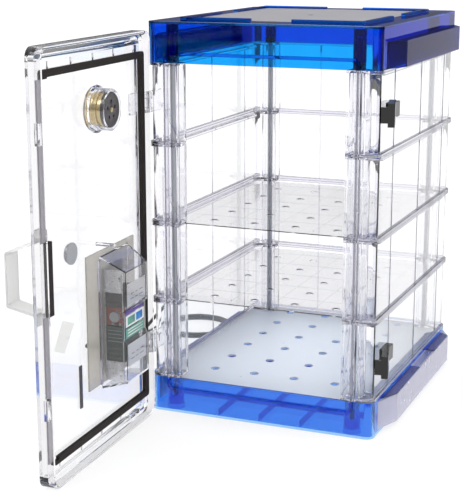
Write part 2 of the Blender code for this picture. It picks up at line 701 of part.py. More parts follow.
def dryer(looks, axis):
    clear, steel, dark, red, grey, green, white, black, strip = looks
    panel = TRAY_DEEP - GAP
    back = panel - 0.002
    plate_spans = ((0.046, 0.186), (back, panel), (0.0905, 0.2665))
    back_plate = door_box("dryer_back_plate", *plate_spans)
    cut(back_plate, door_round("back_plate_hole", GLAND_U, GLAND_Z, 0.0060, (0.0, 0.02), 12))
    part(back_plate, clear, axis)

    cover = dryer_cover("dryer_cover", TRAY_DEEP)
    part(cut(cover, door_box("cover_trim", (0.0, 0.2), (back - GAP, 0.02), (0.05, 0.3))), clear, axis)

    near = 0.1380
    sheet = 0.0015
    chassis = door_box("dryer_chassis", (near - sheet, near), (-0.0190, back - GAP), (0.0925, 0.2405))
    window = ((near - 0.01, near + 0.01), (-0.0165, 0.0040), (0.1185, 0.2105))
    part(cut(chassis, door_box("chassis_window", *window)), steel, axis)
    for tag, z in (("upper", 0.2300), ("lower", 0.1000)):
        low = (door_x(near + GAP), DOOR_RIM_Y + 0.0050, z)
        high = (door_x(near + 0.0018), DOOR_RIM_Y + 0.0050, z)
        part(cylinder(f"dryer_screw_{tag}", 0.0026, low, high, "X", 12), steel, axis)

    behind = near - sheet - GAP
    stack = (
        ("dryer_heater", 0.0900, behind, 0.1905, 0.2120, dark),
        ("dryer_circuit_board", 0.1290, behind - 0.0030, 0.1660, 0.1895, red),
        ("desiccant_cartridge", 0.0900, behind, 0.1170, 0.1650, green),
    )
    for name, start, end, low, high, look in stack:
        depths = (-0.0180, back - GAP - 0.0005)
        part(door_box(name, (start, end), depths, (low, high)), look, axis)
    low = (door_x(behind - 0.0030 + GAP), DOOR_RIM_Y + 0.0060, 0.1780)
    high = (door_x(near), DOOR_RIM_Y + 0.0060, 0.1780)
    part(cylinder("dryer_thermostat", 0.0070, low, high, "X", 16), grey, axis)

    label = ((0.0790, 0.1310), (-0.0215, -0.0195), (0.1120, 0.2150))
    part(door_box("dryer_label_panel", *label), white, axis)

    peg_ends = (TRAY_DEEP - GAP, -0.0165)
    part(door_round("dryer_peg", 0.1530, 0.2770, 0.0026, peg_ends, 12), clear, axis)
    strip_spans = ((STRIP_U - 0.0035, STRIP_U + 0.0035), (panel - 0.0012, panel), (0.0760, 0.1320))
    part(door_box("indicator_strip", *strip_spans), strip, axis)

    out = TRAY_DEEP + PANEL + GAP
    vent = door_box("dryer_outer_vent", (0.078, 0.140), (out, out + 0.006), (0.100, 0.240))
    slots = [0.150 + 0.012 * i for i in range(6)]
    for i, z in enumerate(slots):
        cut(vent, door_box(f"vent_slot_{i}", (0.086, 0.132), (out + 0.002, out + 0.008), (z, z + 0.005)))
    cut(vent, door_round("vent_bore", GLAND_U, GLAND_Z, 0.0066, (0.0, 0.04), 14))
    part(vent, black, axis)

    tip = 0.0350
    gland = [(out + 0.0005, 0.0), (out + 0.0005, 0.0062), (0.0195, 0.0062), (0.0195, 0.0075)]
    gland += [(0.0225, 0.0075), (0.0225, 0.0055), (tip, 0.0036), (tip, 0.0)]
    part(turned("cord_gland", GLAND_U, GLAND_Z, gland, 16), black, axis)


def dryer_cover(name, rim):
    """A tapering open-backed box, solidified inwards. Its rim is trimmed flat by the caller."""
    shape = bmesh.new()
    corners = []
    for us, zs, depth in ((DRYER_U, DRYER_Z, rim), (DRYER_FACE_U, DRYER_FACE_Z, -DRYER_REACH)):
        ring = ((us[0], zs[0]), (us[1], zs[0]), (us[1], zs[1]), (us[0], zs[1]))
        corners.append([shape.verts.new((door_x(u), DOOR_RIM_Y - depth, z)) for u, z in ring])
    shape.faces.new(corners[1])
    for i in range(4):
        j = (i + 1) % 4
        shape.faces.new((corners[0][i], corners[0][j], corners[1][j], corners[1][i]))
    bmesh.ops.recalc_face_normals(shape, faces=shape.faces)
    made = object_of(shape, name)
    shell = made.modifiers.new("Solidify", "SOLIDIFY")
    shell.thickness = 0.0018
    shell.offset = -1.0
    shell.use_even_offset = True
    return made


# ---------------------------------------------------------------- lead


def smooth_route(points, step):
    """Points about step apart on a smooth curve through the given ones."""
    spots = [Vector(p) for p in points]
    spots = [2 * spots[0] - spots[1]] + spots + [2 * spots[-1] - spots[-2]]
    dense = []
    for a, b, c, d in zip(spots, spots[1:], spots[2:], spots[3:]):
        for i in range(16):
            t = i / 16
            dense.append(
                0.5 * (2 * b + (c - a) * t + (2 * a - 5 * b + 4 * c - d) * t * t
                       + (3 * b - a - 3 * c + d) * t ** 3)
            )
    dense.append(spots[-2])
    lengths = [0.0]
    for a, b in zip(dense, dense[1:]):
        lengths.append(lengths[-1] + (b - a).length)
    count = round(lengths[-1] / step)
    found = []
    for i in range(count + 1):
        want = lengths[-1] * i / count
        k = max(j for j in range(len(lengths)) if lengths[j] <= want + 1e-9)
        k = min(k, len(dense) - 2)
        share = (want - lengths[k]) / (lengths[k + 1] - lengths[k])
        found.append(dense[k].lerp(dense[k + 1], share))
    return found


def tube(name, points, look):
    curve = bpy.data.curves.new(name, "CURVE")
    curve.dimensions = "3D"
    curve.bevel_depth = CORD_RADIUS
    curve.bevel_resolution = 2
    curve.use_fill_caps = True
    spline = curve.splines.new("POLY")
    spline.points.add(len(points) - 1)
    for point, at in zip(spline.points, points):
        point.co = (*at, 1.0)
    made = bpy.data.objects.new(name, curve)
    PARTS.objects.link(made)
    curve.materials.append(look)


def coil(look):
    """The wound lead as one ring with chamfered edges."""
    chamfer = 0.0018
    profile = [(COIL_INNER, COIL_HIGH - chamfer), (COIL_INNER + chamfer, COIL_HIGH)]
    profile += [(COIL_OUTER - chamfer, COIL_HIGH), (COIL_OUTER, COIL_HIGH - chamfer)]
    profile += [(COIL_OUTER, chamfer), (COIL_OUTER - chamfer, GAP)]
    profile += [(COIL_INNER + chamfer, GAP), (COIL_INNER, chamfer)]
    mesh = bpy.data.meshes.new("cord_coil")
    count = len(profile)
    edges = [(i, (i + 1) % count) for i in range(count)]
    mesh.from_pydata([(radius, 0.0, z) for radius, z in profile], edges, [])
    made = bpy.data.objects.new("cord_coil", mesh)
    made.location = (*COIL_AT, 0.0)
    screw = made.modifiers.new("Screw", "SCREW")
    screw.steps = 32
    screw.render_steps = 32
    screw.use_merge_vertices = True
    screw.merge_threshold = 0.00005
    part(made, look)


def power_plug(black):
    x, y, z = PLUG_AT
    neck = ((x, y + 0.0320, z), (x, y + 0.013, z))
    body = cylinder("power_plug", 0.0045, *neck, "Y", 12, 0.0075)
    low = (x - 0.013, y - 0.012, z - 0.0092)
    high = (x + 0.013, y + 0.0145, z + 0.0092)
    join(body, box("plug_block", low, high))
    for side in (-1, 1):
        low = (x + side * 0.0064 - 0.0008, y - 0.029, z - 0.0031)
        high = (x + side * 0.0064 + 0.0008, y - 0.010, z + 0.0031)
        join(body, box(f"plug_blade_{side}", low, high))
    part(body, black)


def main():
    global PARTS, CUTTERS
    clear_scene()
    PARTS = new_collection("desiccator_cabinet")
    CUTTERS = new_collection("cutters")

    clear = material("clear_plastic", (0.86, 0.87, 0.91), 0.08, alpha=0.35)
    blue = material("blue_plastic", (0.02, 0.12, 0.75), 0.10, alpha=0.6)
    pale_blue = material("pale_blue_plastic", (0.08, 0.25, 0.85), 0.18, alpha=0.6)
    steel = material("steel", (0.55, 0.56, 0.60), 0.32, 1.0)
    brass = material("brass", (0.62, 0.50, 0.26), 0.30, 1.0)
    black = material("black_plastic", (0.015, 0.014, 0.014), 0.38)
    rubber = material("black_rubber", (0.022, 0.017, 0.016), 0.75)
    grey = material("grey_rubber", (0.50, 0.51, 0.54), 0.55)
    dark = material("dark_grey_metal", (0.12, 0.11, 0.11), 0.45, 0.6)
    red = material("red_board", (0.45, 0.10, 0.07), 0.45)
    green = material("dark_green_case", (0.03, 0.06, 0.05), 0.45)
    white = material("white_card", (0.80, 0.81, 0.86), 0.55)

    base_cap(pale_blue)
    top_cap(blue)
    for number in range(1, len(TIER_JOINTS)):
        tier(number, clear)
    shelf_top = RAIL_DROP - GAP - SHELF_THICK
    for name, joint in (("shelf_lower", 1), ("shelf_upper", 2)):
        shelf(name, TIER_JOINTS[joint] - shelf_top, SHELF_HALF[0], -SHELF_HALF[1], SHELF_HALF[1], clear)
    shelf("floor_tray", TIER_JOINTS[0] - GAP, 0.1590, -0.1950, 0.1950, clear, rod_holes=True)
    tie_rods(steel, black)

    door_axis = axis_empty("door_axis", (HINGE_X, HINGE_Y, 0.0), -DOOR_OPEN)
    for tag in HINGE_HEIGHTS:
        hinge(tag, clear, steel, door_axis)
    for tag in LATCH_HEIGHTS:
        latch(tag, black, steel)

    door_shell(clear, door_axis)
    door_gasket(rubber, door_axis)
    door_handle(clear, door_axis)
    hygrometer((clear, brass, black, white, steel), door_axis)
    gauge_needle(black, door_axis)
    port_plug(grey, door_axis)
    dryer((clear, steel, dark, red, grey, green, white, black, dark), door_axis)

    tube("cord_lead", smooth_route(LEAD_ROUTE, CORD_STEP), black)
    coil(black)
    tube("cord_tail", smooth_route(TAIL_ROUTE, CORD_STEP), black)
    power_plug(black)


main()
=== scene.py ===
"""Clear auto-desiccator cabinet with blue caps, its door open, on a pale studio floor."""

import math

import bmesh
import bpy
from mathutils import Matrix, Vector


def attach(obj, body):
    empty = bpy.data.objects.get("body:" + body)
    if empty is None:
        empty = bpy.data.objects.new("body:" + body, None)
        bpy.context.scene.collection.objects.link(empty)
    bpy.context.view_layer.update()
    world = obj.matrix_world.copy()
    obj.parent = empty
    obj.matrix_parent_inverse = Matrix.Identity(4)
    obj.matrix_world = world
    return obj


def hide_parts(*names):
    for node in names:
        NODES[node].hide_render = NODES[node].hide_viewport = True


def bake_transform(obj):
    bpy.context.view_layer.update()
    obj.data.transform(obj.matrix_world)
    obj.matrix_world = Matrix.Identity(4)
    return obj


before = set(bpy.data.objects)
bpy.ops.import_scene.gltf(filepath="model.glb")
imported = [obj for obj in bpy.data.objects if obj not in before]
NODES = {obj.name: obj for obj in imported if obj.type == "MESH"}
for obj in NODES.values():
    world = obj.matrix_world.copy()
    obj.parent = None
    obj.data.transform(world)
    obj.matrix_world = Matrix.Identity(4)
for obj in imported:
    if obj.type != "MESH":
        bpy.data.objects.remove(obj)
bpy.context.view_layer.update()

# The cabinet, in metres.
WIDTH, DEPTH, HEIGHT = 0.326, 0.398, 0.549
GAP = 0.0003
CORNER = 0.012
TIER_JOINTS = (0.0510, 0.1605, 0.2705, 0.3803, 0.4900)
TIER_WALL, WALL_INSET = 0.0025, 0.003
FLANGE, FLANGE_REACH = 0.0032, 0.0085
MOUTH, POST, POST_DEPTH = 0.1175, 0.026, 0.025
ROD_X, ROD_Y, ROD_RADIUS = 0.1305, 0.1835, 0.004
RIDGE_HALF, RIDGE_WIDTH, RIDGE_REACH, RIDGE_CORNER = 0.1355, 0.004, 0.0047, 0.011
SKIRT_OUT, SKIRT_START, SKIRT_FRONT, SKIRT_REAR = 0.178, 0.178, 0.132, 0.159
SHELF_THICK = 0.0026
HOLE_RADIUS = 0.0048
HOLE_X = (-0.090, -0.030, 0.030, 0.090)
HOLE_Y = [-0.138 + 0.0625 * i for i in range(6)]

# The door, drawn shut and then turned about its hinge pin.
DOOR_WIDTH, DOOR_LOW, DOOR_HIGH = 0.2992, 0.0015, 0.5345
DOOR_CORNER, DOOR_DEEP, TRAY_DEEP, PANEL = 0.014, 0.020, 0.0095, 0.003
SIDE_WALL, FRAME = 0.0035, 0.012
RIM_Y = -0.200
HINGE = Vector((-0.1561, -0.2048, 0.0))
DOOR_TURN = Matrix.Translation(HINGE) @ Matrix.Rotation(math.radians(-88.11), 4, "Z")
DOOR_TURN = DOOR_TURN @ Matrix.Translation(-HINGE)
GAUGE, PORT, GLAND = (0.143, 0.4465), (0.2225, 0.280), (0.100, 0.120)

# Each bead is the door's rounded rim over the gasket; its grey tint is painted shade for the rim's inner
# reflection, and the gasket is cut away beneath it.
BEADS = ((0.0350, 0.2175), (0.3080, 0.4970))  # heights where a bead covers the gasket's free side
FLAT_FACE = 0.0003  # a face larger than this is shaded flat, so that clear walls don't bend the view

# The lead.
CORD_RADIUS = 0.0023
COIL_AT = (-0.265, 0.185)
LEAD_ROUTE = (
    (-0.1831, -0.3123, 0.1200), (-0.1925, -0.3124, 0.1197), (-0.2030, -0.3090, 0.1186),
    (-0.2110, -0.3000, 0.1168), (-0.2145, -0.2870, 0.1145), (-0.2150, -0.2500, 0.1065),
    (-0.2120, -0.2150, 0.0990), (-0.2060, -0.1800, 0.0950),
    (-0.2010, -0.1400, 0.0980), (-0.2000, -0.0950, 0.1110), (-0.2010, -0.0600, 0.1190),
    (-0.2030, -0.0370, 0.1130), (-0.2040, -0.0260, 0.0900), (-0.2040, -0.0270, 0.0550),
    (-0.2045, -0.0250, 0.0240), (-0.2052, -0.0080, 0.0075), (-0.2060, 0.0200, 0.0026),
    (-0.2058, 0.0600, 0.0026), (-0.2052, 0.1000, 0.0026), (-0.2048, 0.1330, 0.0026),
    (-0.2048, 0.1602, 0.0026),
)
TAIL_ROUTE = (
    (-0.3227, 0.1545, 0.0070), (-0.3230, 0.1400, 0.0060), (-0.3234, 0.1250, 0.0062),
    (-0.3238, 0.1100, 0.0085), (-0.3240, 0.1003, 0.0095),
)
PLUG_AT = (-0.3240, 0.0680, 0.0095)


# ---------------------------------------------------------------- materials


def surface(name, colour, rough, metallic=0.0, through=0.0, vary=0.05, bump=0.02, scale=90.0, ior=1.46):
    """A Principled finish whose tone, roughness and relief drift with a noise in object space."""
    made = bpy.data.materials.new(name)
    made.use_nodes = True
    tree = made.node_tree
    shader = tree.nodes["Principled BSDF"]
    shader.inputs["Metallic"].default_value = metallic
    shader.inputs["Transmission Weight"].default_value = through
    shader.inputs["IOR"].default_value = ior
    place = tree.nodes.new("ShaderNodeTexCoord")
    noise = tree.nodes.new("ShaderNodeTexNoise")
    noise.inputs["Scale"].default_value = scale
    noise.inputs["Detail"].default_value = 3.0
    tree.links.new(place.outputs["Object"], noise.inputs["Vector"])
    ramp = tree.nodes.new("ShaderNodeValToRGB")
    ramp.color_ramp.elements[0].position = 0.3
    ramp.color_ramp.elements[1].position = 0.7
    ramp.color_ramp.elements[0].color = (*[c * (1 - vary) for c in colour], 1)
    ramp.color_ramp.elements[1].color = (*[min(1, c * (1 + vary)) for c in colour], 1)
    tree.links.new(noise.outputs["Fac"], ramp.inputs["Fac"])
    tree.links.new(ramp.outputs["Color"], shader.inputs["Base Color"])
    spread = tree.nodes.new("ShaderNodeMapRange")
    spread.inputs["To Min"].default_value = rough * 0.8
    spread.inputs["To Max"].default_value = rough * 1.25
    tree.links.new(noise.outputs["Fac"], spread.inputs["Value"])
    tree.links.new(spread.outputs["Result"], shader.inputs["Roughness"])
    relief = tree.nodes.new("ShaderNodeBump")
    relief.inputs["Strength"].default_value = bump
    relief.inputs["Distance"].default_value = 0.001
    tree.links.new(noise.outputs["Fac"], relief.inputs["Height"])
    tree.links.new(relief.outputs["Normal"], shader.inputs["Normal"])
    return made


CLEAR = surface("clear_moulding", (0.965, 0.966, 0.98), 0.02, through=1.0, vary=0.01, bump=0.03, scale=30)
# A lavender clear for flanges, ridges, rails, ribs, hole rims and tier corners: painted edge shade in place
# of the grey that thick clear plastic shows at its edges.
EDGE_SHADED_CLEAR = surface("clear_ledge_painted_edge_shade", (0.77, 0.76, 0.84), 0.06, through=1.0, vary=0.02)
# A grey clear for the door's side faces and ticks: painted edge shade.
EDGE_SHADED_RIM = surface("clear_rim_painted_edge_shade", (0.84, 0.835, 0.85), 0.05, through=1.0, vary=0.02)
POSTS = surface("clear_post", (0.95, 0.95, 0.972), 0.03, through=1.0, vary=0.01, scale=40, ior=1.38)
# A grey clear for the rim beads: painted shade where the thick rounded rim reflects light inside and hides
# the gasket.
BEAD_SHADE = surface("rim_bead_painted_shade", (0.66, 0.63, 0.68), 0.35, through=0.45, vary=0.03, scale=200)
GRIP = surface("frosted_grip", (0.985, 0.98, 0.975), 0.30, through=0.75, vary=0.01, scale=120)
MILK = surface("frosted_tray", (0.89, 0.94, 1.0), 0.30, through=0.40, vary=0.01, bump=0.0, scale=60)
WARM = surface("warm_clear_plate", (0.74, 0.71, 0.66), 0.20, through=0.60, vary=0.03, scale=120)
AZURE = surface("azure_plastic", (0.004, 0.36, 0.95), 0.05, through=1.0, vary=0.03, scale=40, ior=1.22)
DEEP = surface("deep_blue_plastic_and_painted_shade", (0.006, 0.05, 0.52), 0.06, through=1.0, vary=0.04, scale=60, ior=1.15)
LILAC = surface("lilac_plastic", (0.46, 0.455, 0.50), 0.35, through=0.4, vary=0.03, scale=60)
ROYAL = surface("royal_blue_plastic_and_painted_shade", (0.006, 0.13, 0.66), 0.05, through=1.0, vary=0.04, scale=40, ior=1.22)
PALE = surface("pale_azure_plastic", (0.14, 0.42, 0.96), 0.10, through=0.95, vary=0.03, scale=40)
COBALT = surface("cobalt_plastic", (0.006, 0.07, 0.66), 0.08, through=0.95, vary=0.04, scale=60)
MAUVE = surface("mauve_plastic", (0.74, 0.73, 0.88), 0.25, through=0.5, vary=0.03, scale=60)
PLUM = surface("plum_plastic", (0.042, 0.038, 0.24), 0.12, through=0.85, vary=0.05, scale=60, ior=1.12)
STEEL = surface("steel", (0.62, 0.63, 0.66), 0.28, metallic=1.0, scale=300)
ROD = surface("rod_steel", (0.40, 0.41, 0.44), 0.30, metallic=1.0, scale=300)
BRASS = surface("brass", (0.62, 0.50, 0.26), 0.28, metallic=1.0, scale=300)
BLACK = surface("black_plastic", (0.008, 0.0075, 0.007), 0.12, vary=0.15, bump=0.02, scale=400)
FOAM = surface("black_foam", (0.022, 0.017, 0.016), 0.85, vary=0.3, bump=0.5, scale=900)
GREY = surface("grey_rubber", (0.42, 0.43, 0.46), 0.5, vary=0.05, scale=200)
DARK = surface("dark_metal", (0.10, 0.092, 0.095), 0.42, metallic=0.5, vary=0.15, scale=250)
RED = surface("red_board", (0.38, 0.085, 0.06), 0.40, vary=0.18, bump=0.1, scale=500)
GREEN = surface("green_case", (0.022, 0.060, 0.045), 0.38, vary=0.15, scale=250)
WHITE = surface("white_card", (0.95, 0.95, 0.97), 0.60, vary=0.02, scale=300)
INK = surface("dark_ink", (0.05, 0.05, 0.055), 0.5, vary=0.1, scale=300)
PURPLE = surface("purple_ink", (0.16, 0.10, 0.42), 0.45, vary=0.08, scale=300)
SKY = surface("blue_ink", (0.05, 0.28, 0.70), 0.45, vary=0.08, scale=300)
LEAF = surface("green_ink", (0.16, 0.44, 0.34), 0.45, vary=0.08, scale=300)
CREAM = surface("cream_label", (0.985, 0.975, 0.91), 0.20, through=0.96, vary=0.01, scale=250)
RUBBER = surface("cord_rubber", (0.020, 0.019, 0.019), 0.45, vary=0.15, bump=0.1, scale=600)

# In both palettes index 1 is a clear tinted as painted edge shade, and index 3 is the bead's painted shade.
CLEARS = (CLEAR, EDGE_SHADED_CLEAR, POSTS, BEAD_SHADE)
DOOR_CLEARS = (CLEAR, EDGE_SHADED_RIM, POSTS, BEAD_SHADE)
# Lighter and deeper copies of the one blue plastic: the deeper ones mark the ridge, fins, bosses and top
# ribs, and paint shade on the cap's faces by side.
BLUES = (AZURE, DEEP, PLUM, ROYAL)
BASE_BLUES = (PALE, COBALT, MAUVE)


# ---------------------------------------------------------------- shapes


def linked(mesh, name):
    made = bpy.data.objects.new(name, mesh)
    bpy.context.scene.collection.objects.link(made)
    return made


def outward(mesh, weld=None):
    """Turns the faces outwards, after merging points closer than weld."""
    shape = bmesh.new()
    shape.from_mesh(mesh)
    if weld:
        bmesh.ops.remove_doubles(shape, verts=shape.verts, dist=weld)
    bmesh.ops.recalc_face_normals(shape, faces=shape.faces)
    shape.to_mesh(mesh)
    shape.free()
    return mesh


def box(low, high):
    shape = bmesh.new()
    bmesh.ops.create_cube(shape, size=1.0)
    size = [abs(b - a) for a, b in zip(low, high)]
    middle = [(a + b) / 2 for a, b in zip(low, high)]
    bmesh.ops.scale(shape, vec=size, verts=shape.verts)
    bmesh.ops.translate(shape, vec=middle, verts=shape.verts)
    mesh = bpy.data.meshes.new("box")
    shape.to_mesh(mesh)
    shape.free()
    return linked(mesh, "box")


def lathe(profile, start, end, sides=32):
    """Turns (distance along, radius) points about the line from start towards end."""
    way = (Vector(end) - Vector(start)).normalized()
    turn = Matrix.Translation(Vector(start)) @ way.to_track_quat("Z", "Y").to_matrix().to_4x4()
    spots, rings, faces = [], [], []
    for along, radius in profile:
        count = 1 if radius == 0 else sides
        rings.append([len(spots) + i for i in range(count)])
        for i in range(count):
            angle = 2 * math.pi * i / sides
            spots.append(turn @ Vector((radius * math.cos(angle), radius * math.sin(angle), along)))
    pairs = list(zip(rings, rings[1:]))
    if len(rings[0]) > 1 or len(rings[-1]) > 1:
        pairs.append((rings[-1], rings[0]))
    for a, b in pairs:
        for i in range(sides):
            j = (i + 1) % sides
            if len(a) == 1 and len(b) == 1:
                break
            if len(a) == 1:
                faces.append((a[0], b[i], b[j]))
            elif len(b) == 1:
                faces.append((a[i], b[0], a[j]))
            else:
                faces.append((a[i], b[i], b[j], a[j]))
    mesh = bpy.data.meshes.new("lathe")
    mesh.from_pydata(spots, [], faces)
    return linked(outward(mesh), "lathe")


def bar(radius, start, end, sides=24, far=None):
    length = (Vector(end) - Vector(start)).length
    tip = radius if far is None else far
    return lathe([(0, 0), (0, radius), (length, tip), (length, 0)], start, end, sides)


def plate(loops, low, high, plane="XY"):
    """A flat outline with holes. XY: along Z. XZ: in front of y = 0. YZ: along X."""
    curve = bpy.data.curves.new("plate", "CURVE")
    curve.dimensions = "2D"
    curve.fill_mode = "BOTH"
    curve.extrude = (high - low) / 2
    for loop in loops:
        spline = curve.splines.new("POLY")
        spline.points.add(len(loop) - 1)
        spline.use_cyclic_u = True
        for point, (a, b) in zip(spline.points, loop):
            point.co = (a, b, 0.0, 1.0)
    made = linked(curve, "plate_curve")
    bpy.context.view_layer.update()
    mesh = bpy.data.meshes.new_from_object(made.evaluated_get(bpy.context.evaluated_depsgraph_get()))
    bpy.data.objects.remove(made)
    bpy.data.curves.remove(curve)
    middle = (low + high) / 2
    if plane == "XY":
        place = Matrix.Translation((0, 0, middle))
    elif plane == "XZ":
        place = Matrix.Translation((0, -middle, 0)) @ Matrix.Rotation(math.pi / 2, 4, "X")
    else:
        place = Matrix.Translation((middle, 0, 0)) @ Matrix.Rotation(math.pi / 2, 4, "Z")
        place = place @ Matrix.Rotation(math.pi / 2, 4, "X")
    mesh.transform(place)
    return linked(outward(mesh, 1e-6), "plate")


def arc(centre, radius, start, end, steps):
    angles = [math.radians(start + (end - start) * i / steps) for i in range(steps + 1)]
    return [(centre[0] + radius * math.cos(t), centre[1] + radius * math.sin(t)) for t in angles]


def rounded(x0, y0, x1, y1, radius, steps=6):
    points = arc((x1 - radius, y0 + radius), radius, -90, 0, steps)
    points += arc((x1 - radius, y1 - radius), radius, 0, 90, steps)
    points += arc((x0 + radius, y1 - radius), radius, 90, 180, steps)
    points += arc((x0 + radius, y0 + radius), radius, 180, 270, steps)
    return points


def circle(x, y, radius, sides=20):
    return arc((x, y), radius, 0, 360 - 360 / sides, sides - 1)


def filleted(points, radius, steps=4):
    """The closed outline with every corner rounded as far as its sides allow."""
    found = []
    for before, at, after in zip(points[-1:] + points[:-1], points, points[1:] + points[:1]):
        p, q, r = Vector(before), Vector(at), Vector(after)
        reach = min(radius, (p - q).length * 0.45, (r - q).length * 0.45)
        a = q + (p - q).normalized() * reach
        b = q + (r - q).normalized() * reach
        for i in range(steps + 1):
            t = i / steps
            spot = a * (1 - t) ** 2 + q * 2 * t * (1 - t) + b * t * t
            found.append((spot.x, spot.y))
    return found


def painted(obj, palette, index=0):
    obj.data.materials.clear()
    for look in palette:
        obj.data.materials.append(look)
    for face in obj.data.polygons:
        face.material_index = index
    return obj


def plus(shape, palette, index=0):
    """A step for fused that adds the painted shape."""
    return "+", painted(shape, palette, index)


def minus(shape, palette, index=0):
    """A step for fused that cuts the painted shape away."""
    return "-", painted(shape, palette, index)


def fused(base, steps):
    """Adds ("+") and cuts ("-") the other shapes, which are used up."""
    for sign, other in steps:
        if len(other.data.materials) == 0:
            painted(other, list(base.data.materials), 0)
        modifier = base.modifiers.new("Fuse", "BOOLEAN")
        modifier.operation = "UNION" if sign == "+" else "DIFFERENCE"
        modifier.solver = "EXACT"
        modifier.object = other
    freeze(base)
    for _, other in steps:
        bpy.data.objects.remove(other)
    return base


def freeze(obj):
    bpy.context.view_layer.update()
    graph = bpy.context.evaluated_depsgraph_get()
    mesh = bpy.data.meshes.new_from_object(obj.evaluated_get(graph))
    obj.modifiers.clear()
    obj.data = mesh


def joined(objects):
    """One object from several separate bodies."""
    shape = bmesh.new()
    looks = []
    for obj in objects:
        start = len(shape.faces)
        shape.from_mesh(obj.data)
        shape.faces.ensure_lookup_table()
        kept = list(obj.data.materials)
        for look in kept:
            if look not in looks:
                looks.append(look)
        for face in shape.faces[start:]:
            face.material_index = looks.index(kept[face.material_index])
    mesh = bpy.data.meshes.new("joined")
    shape.to_mesh(mesh)
    shape.free()
    for look in looks:
        mesh.materials.append(look)
    for obj in objects:
        bpy.data.objects.remove(obj)
    return linked(mesh, "joined")


def piece(obj, name, body, replaces=(), bevel=0.0005, door=False, segments=2):
    """Names a finished piece, softens its edges, and hangs it on its body."""
    if bevel:
        soft = obj.modifiers.new("Bevel", "BEVEL")
        soft.width = bevel
        soft.segments = segments
        soft.limit_method = "ANGLE"
        soft.angle_limit = math.radians(35)
        freeze(obj)
    if door:
        obj.data.transform(DOOR_TURN)
    obj.name = name
    obj.data.name = name
    obj.data.shade_smooth()
    obj.data.set_sharp_from_angle(angle=math.radians(32))
    for face in obj.data.polygons:
        face.use_smooth = face.area < FLAT_FACE
    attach(obj, body)
    if replaces:
        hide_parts(*replaces)
    return obj


# ---------------------------------------------------------------- camera and lead


def make_camera():
    azimuth, elevation, roll = math.radians(22.6547), math.radians(13.3828), math.radians(-0.0612)
    flat = math.cos(elevation)
    back = Vector((math.sin(azimuth) * flat, -math.cos(azimuth) * flat, math.sin(elevation)))
    side = Vector((math.cos(azimuth), math.sin(azimuth), 0))
    above = back.cross(side)
    right = side * math.cos(roll) + above * math.sin(roll)
    up = above * math.cos(roll) - side * math.sin(roll)
    data = bpy.data.cameras.new("camera")
    data.lens = 95.25
    data.sensor_width = 36.0
    data.clip_start = 0.05
    data.clip_end = 100.0
    camera = linked(data, "camera")
    rows = [(right[i], up[i], back[i], place) for i, place in enumerate((0.6282, -1.8000, 0.6558))]
    camera.matrix_world = Matrix(rows + [(0, 0, 0, 1)])
    bpy.context.scene.camera = camera


def smooth_route(points, step):
    """Points about step apart on a smooth curve through the given ones."""
    spots = [Vector(p) for p in points]
    spots = [2 * spots[0] - spots[1]] + spots + [2 * spots[-1] - spots[-2]]
    dense = []
    for a, b, c, d in zip(spots, spots[1:], spots[2:], spots[3:]):
        for i in range(16):
            t = i / 16
            dense.append(
                0.5 * (2 * b + (c - a) * t + (2 * a - 5 * b + 4 * c - d) * t * t
                       + (3 * b - a - 3 * c + d) * t ** 3)
            )
    dense.append(spots[-2])
    lengths = [0.0]
    for a, b in zip(dense, dense[1:]):
        lengths.append(lengths[-1] + (b - a).length)
    count = round(lengths[-1] / step)
    found = []
    for i in range(count + 1):
        want = lengths[-1] * i / count
        k = min(max(j for j in range(len(lengths)) if lengths[j] <= want + 1e-9), len(dense) - 2)
        share = (want - lengths[k]) / (lengths[k + 1] - lengths[k])
        found.append(dense[k].lerp(dense[k + 1], share))
    return found


def coil_points():
    """Three and a half turns, the last ones lying on the first."""
    start, turns, steps = math.radians(-23.0), 3.564, 100
    found = []
    for i in range(1, steps):
        t = turns * i / steps
        if t <= 2.0:
            radius, z = 0.0602 - 0.005 * t, 0.0026
        else:
            rise = min(1.0, (t - 2.0) / 0.25)
            radius = 0.0502 + 0.005 * (t - 2.0)
            z = 0.0026 + 0.0047 * rise * rise * (3 - 2 * rise)
        angle = start + 2 * math.pi * t
        x = COIL_AT[0] + radius * math.cos(angle)
        y = COIL_AT[1] + radius * math.sin(angle)
        found.append(Vector((x, y, z)))
    return found


def make_cord():
    lead = smooth_route(LEAD_ROUTE, 0.0140)
    tail = smooth_route(TAIL_ROUTE, 0.0090)
    path = lead + coil_points() + tail
    curve = bpy.data.curves.new("power_cord", "CURVE")
    curve.dimensions = "3D"
    curve.bevel_depth = CORD_RADIUS
    curve.bevel_resolution = 4
    curve.use_fill_caps = True
    spline = curve.splines.new("POLY")
    dense = smooth_route(path, 0.0035)
    spline.points.add(len(dense) - 1)
    for point, at in zip(spline.points, dense):
        at.z = max(at.z, CORD_RADIUS + 0.0001)
        point.co = (*at, 1.0)
    line = linked(curve, "cord_line")
    bpy.context.view_layer.update()
    mesh = bpy.data.meshes.new_from_object(line.evaluated_get(bpy.context.evaluated_depsgraph_get()))
    bpy.data.objects.remove(line)
    cord = painted(linked(mesh, "power_cord"), [RUBBER])
    cord.data.shade_smooth()
    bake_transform(cord)
    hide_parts("cord_lead", "cord_coil", "cord_tail")
    length = sum((b - a).length for a, b in zip(dense, dense[1:]))
    print("cord length", round(length, 4))
    return cord, dense, length


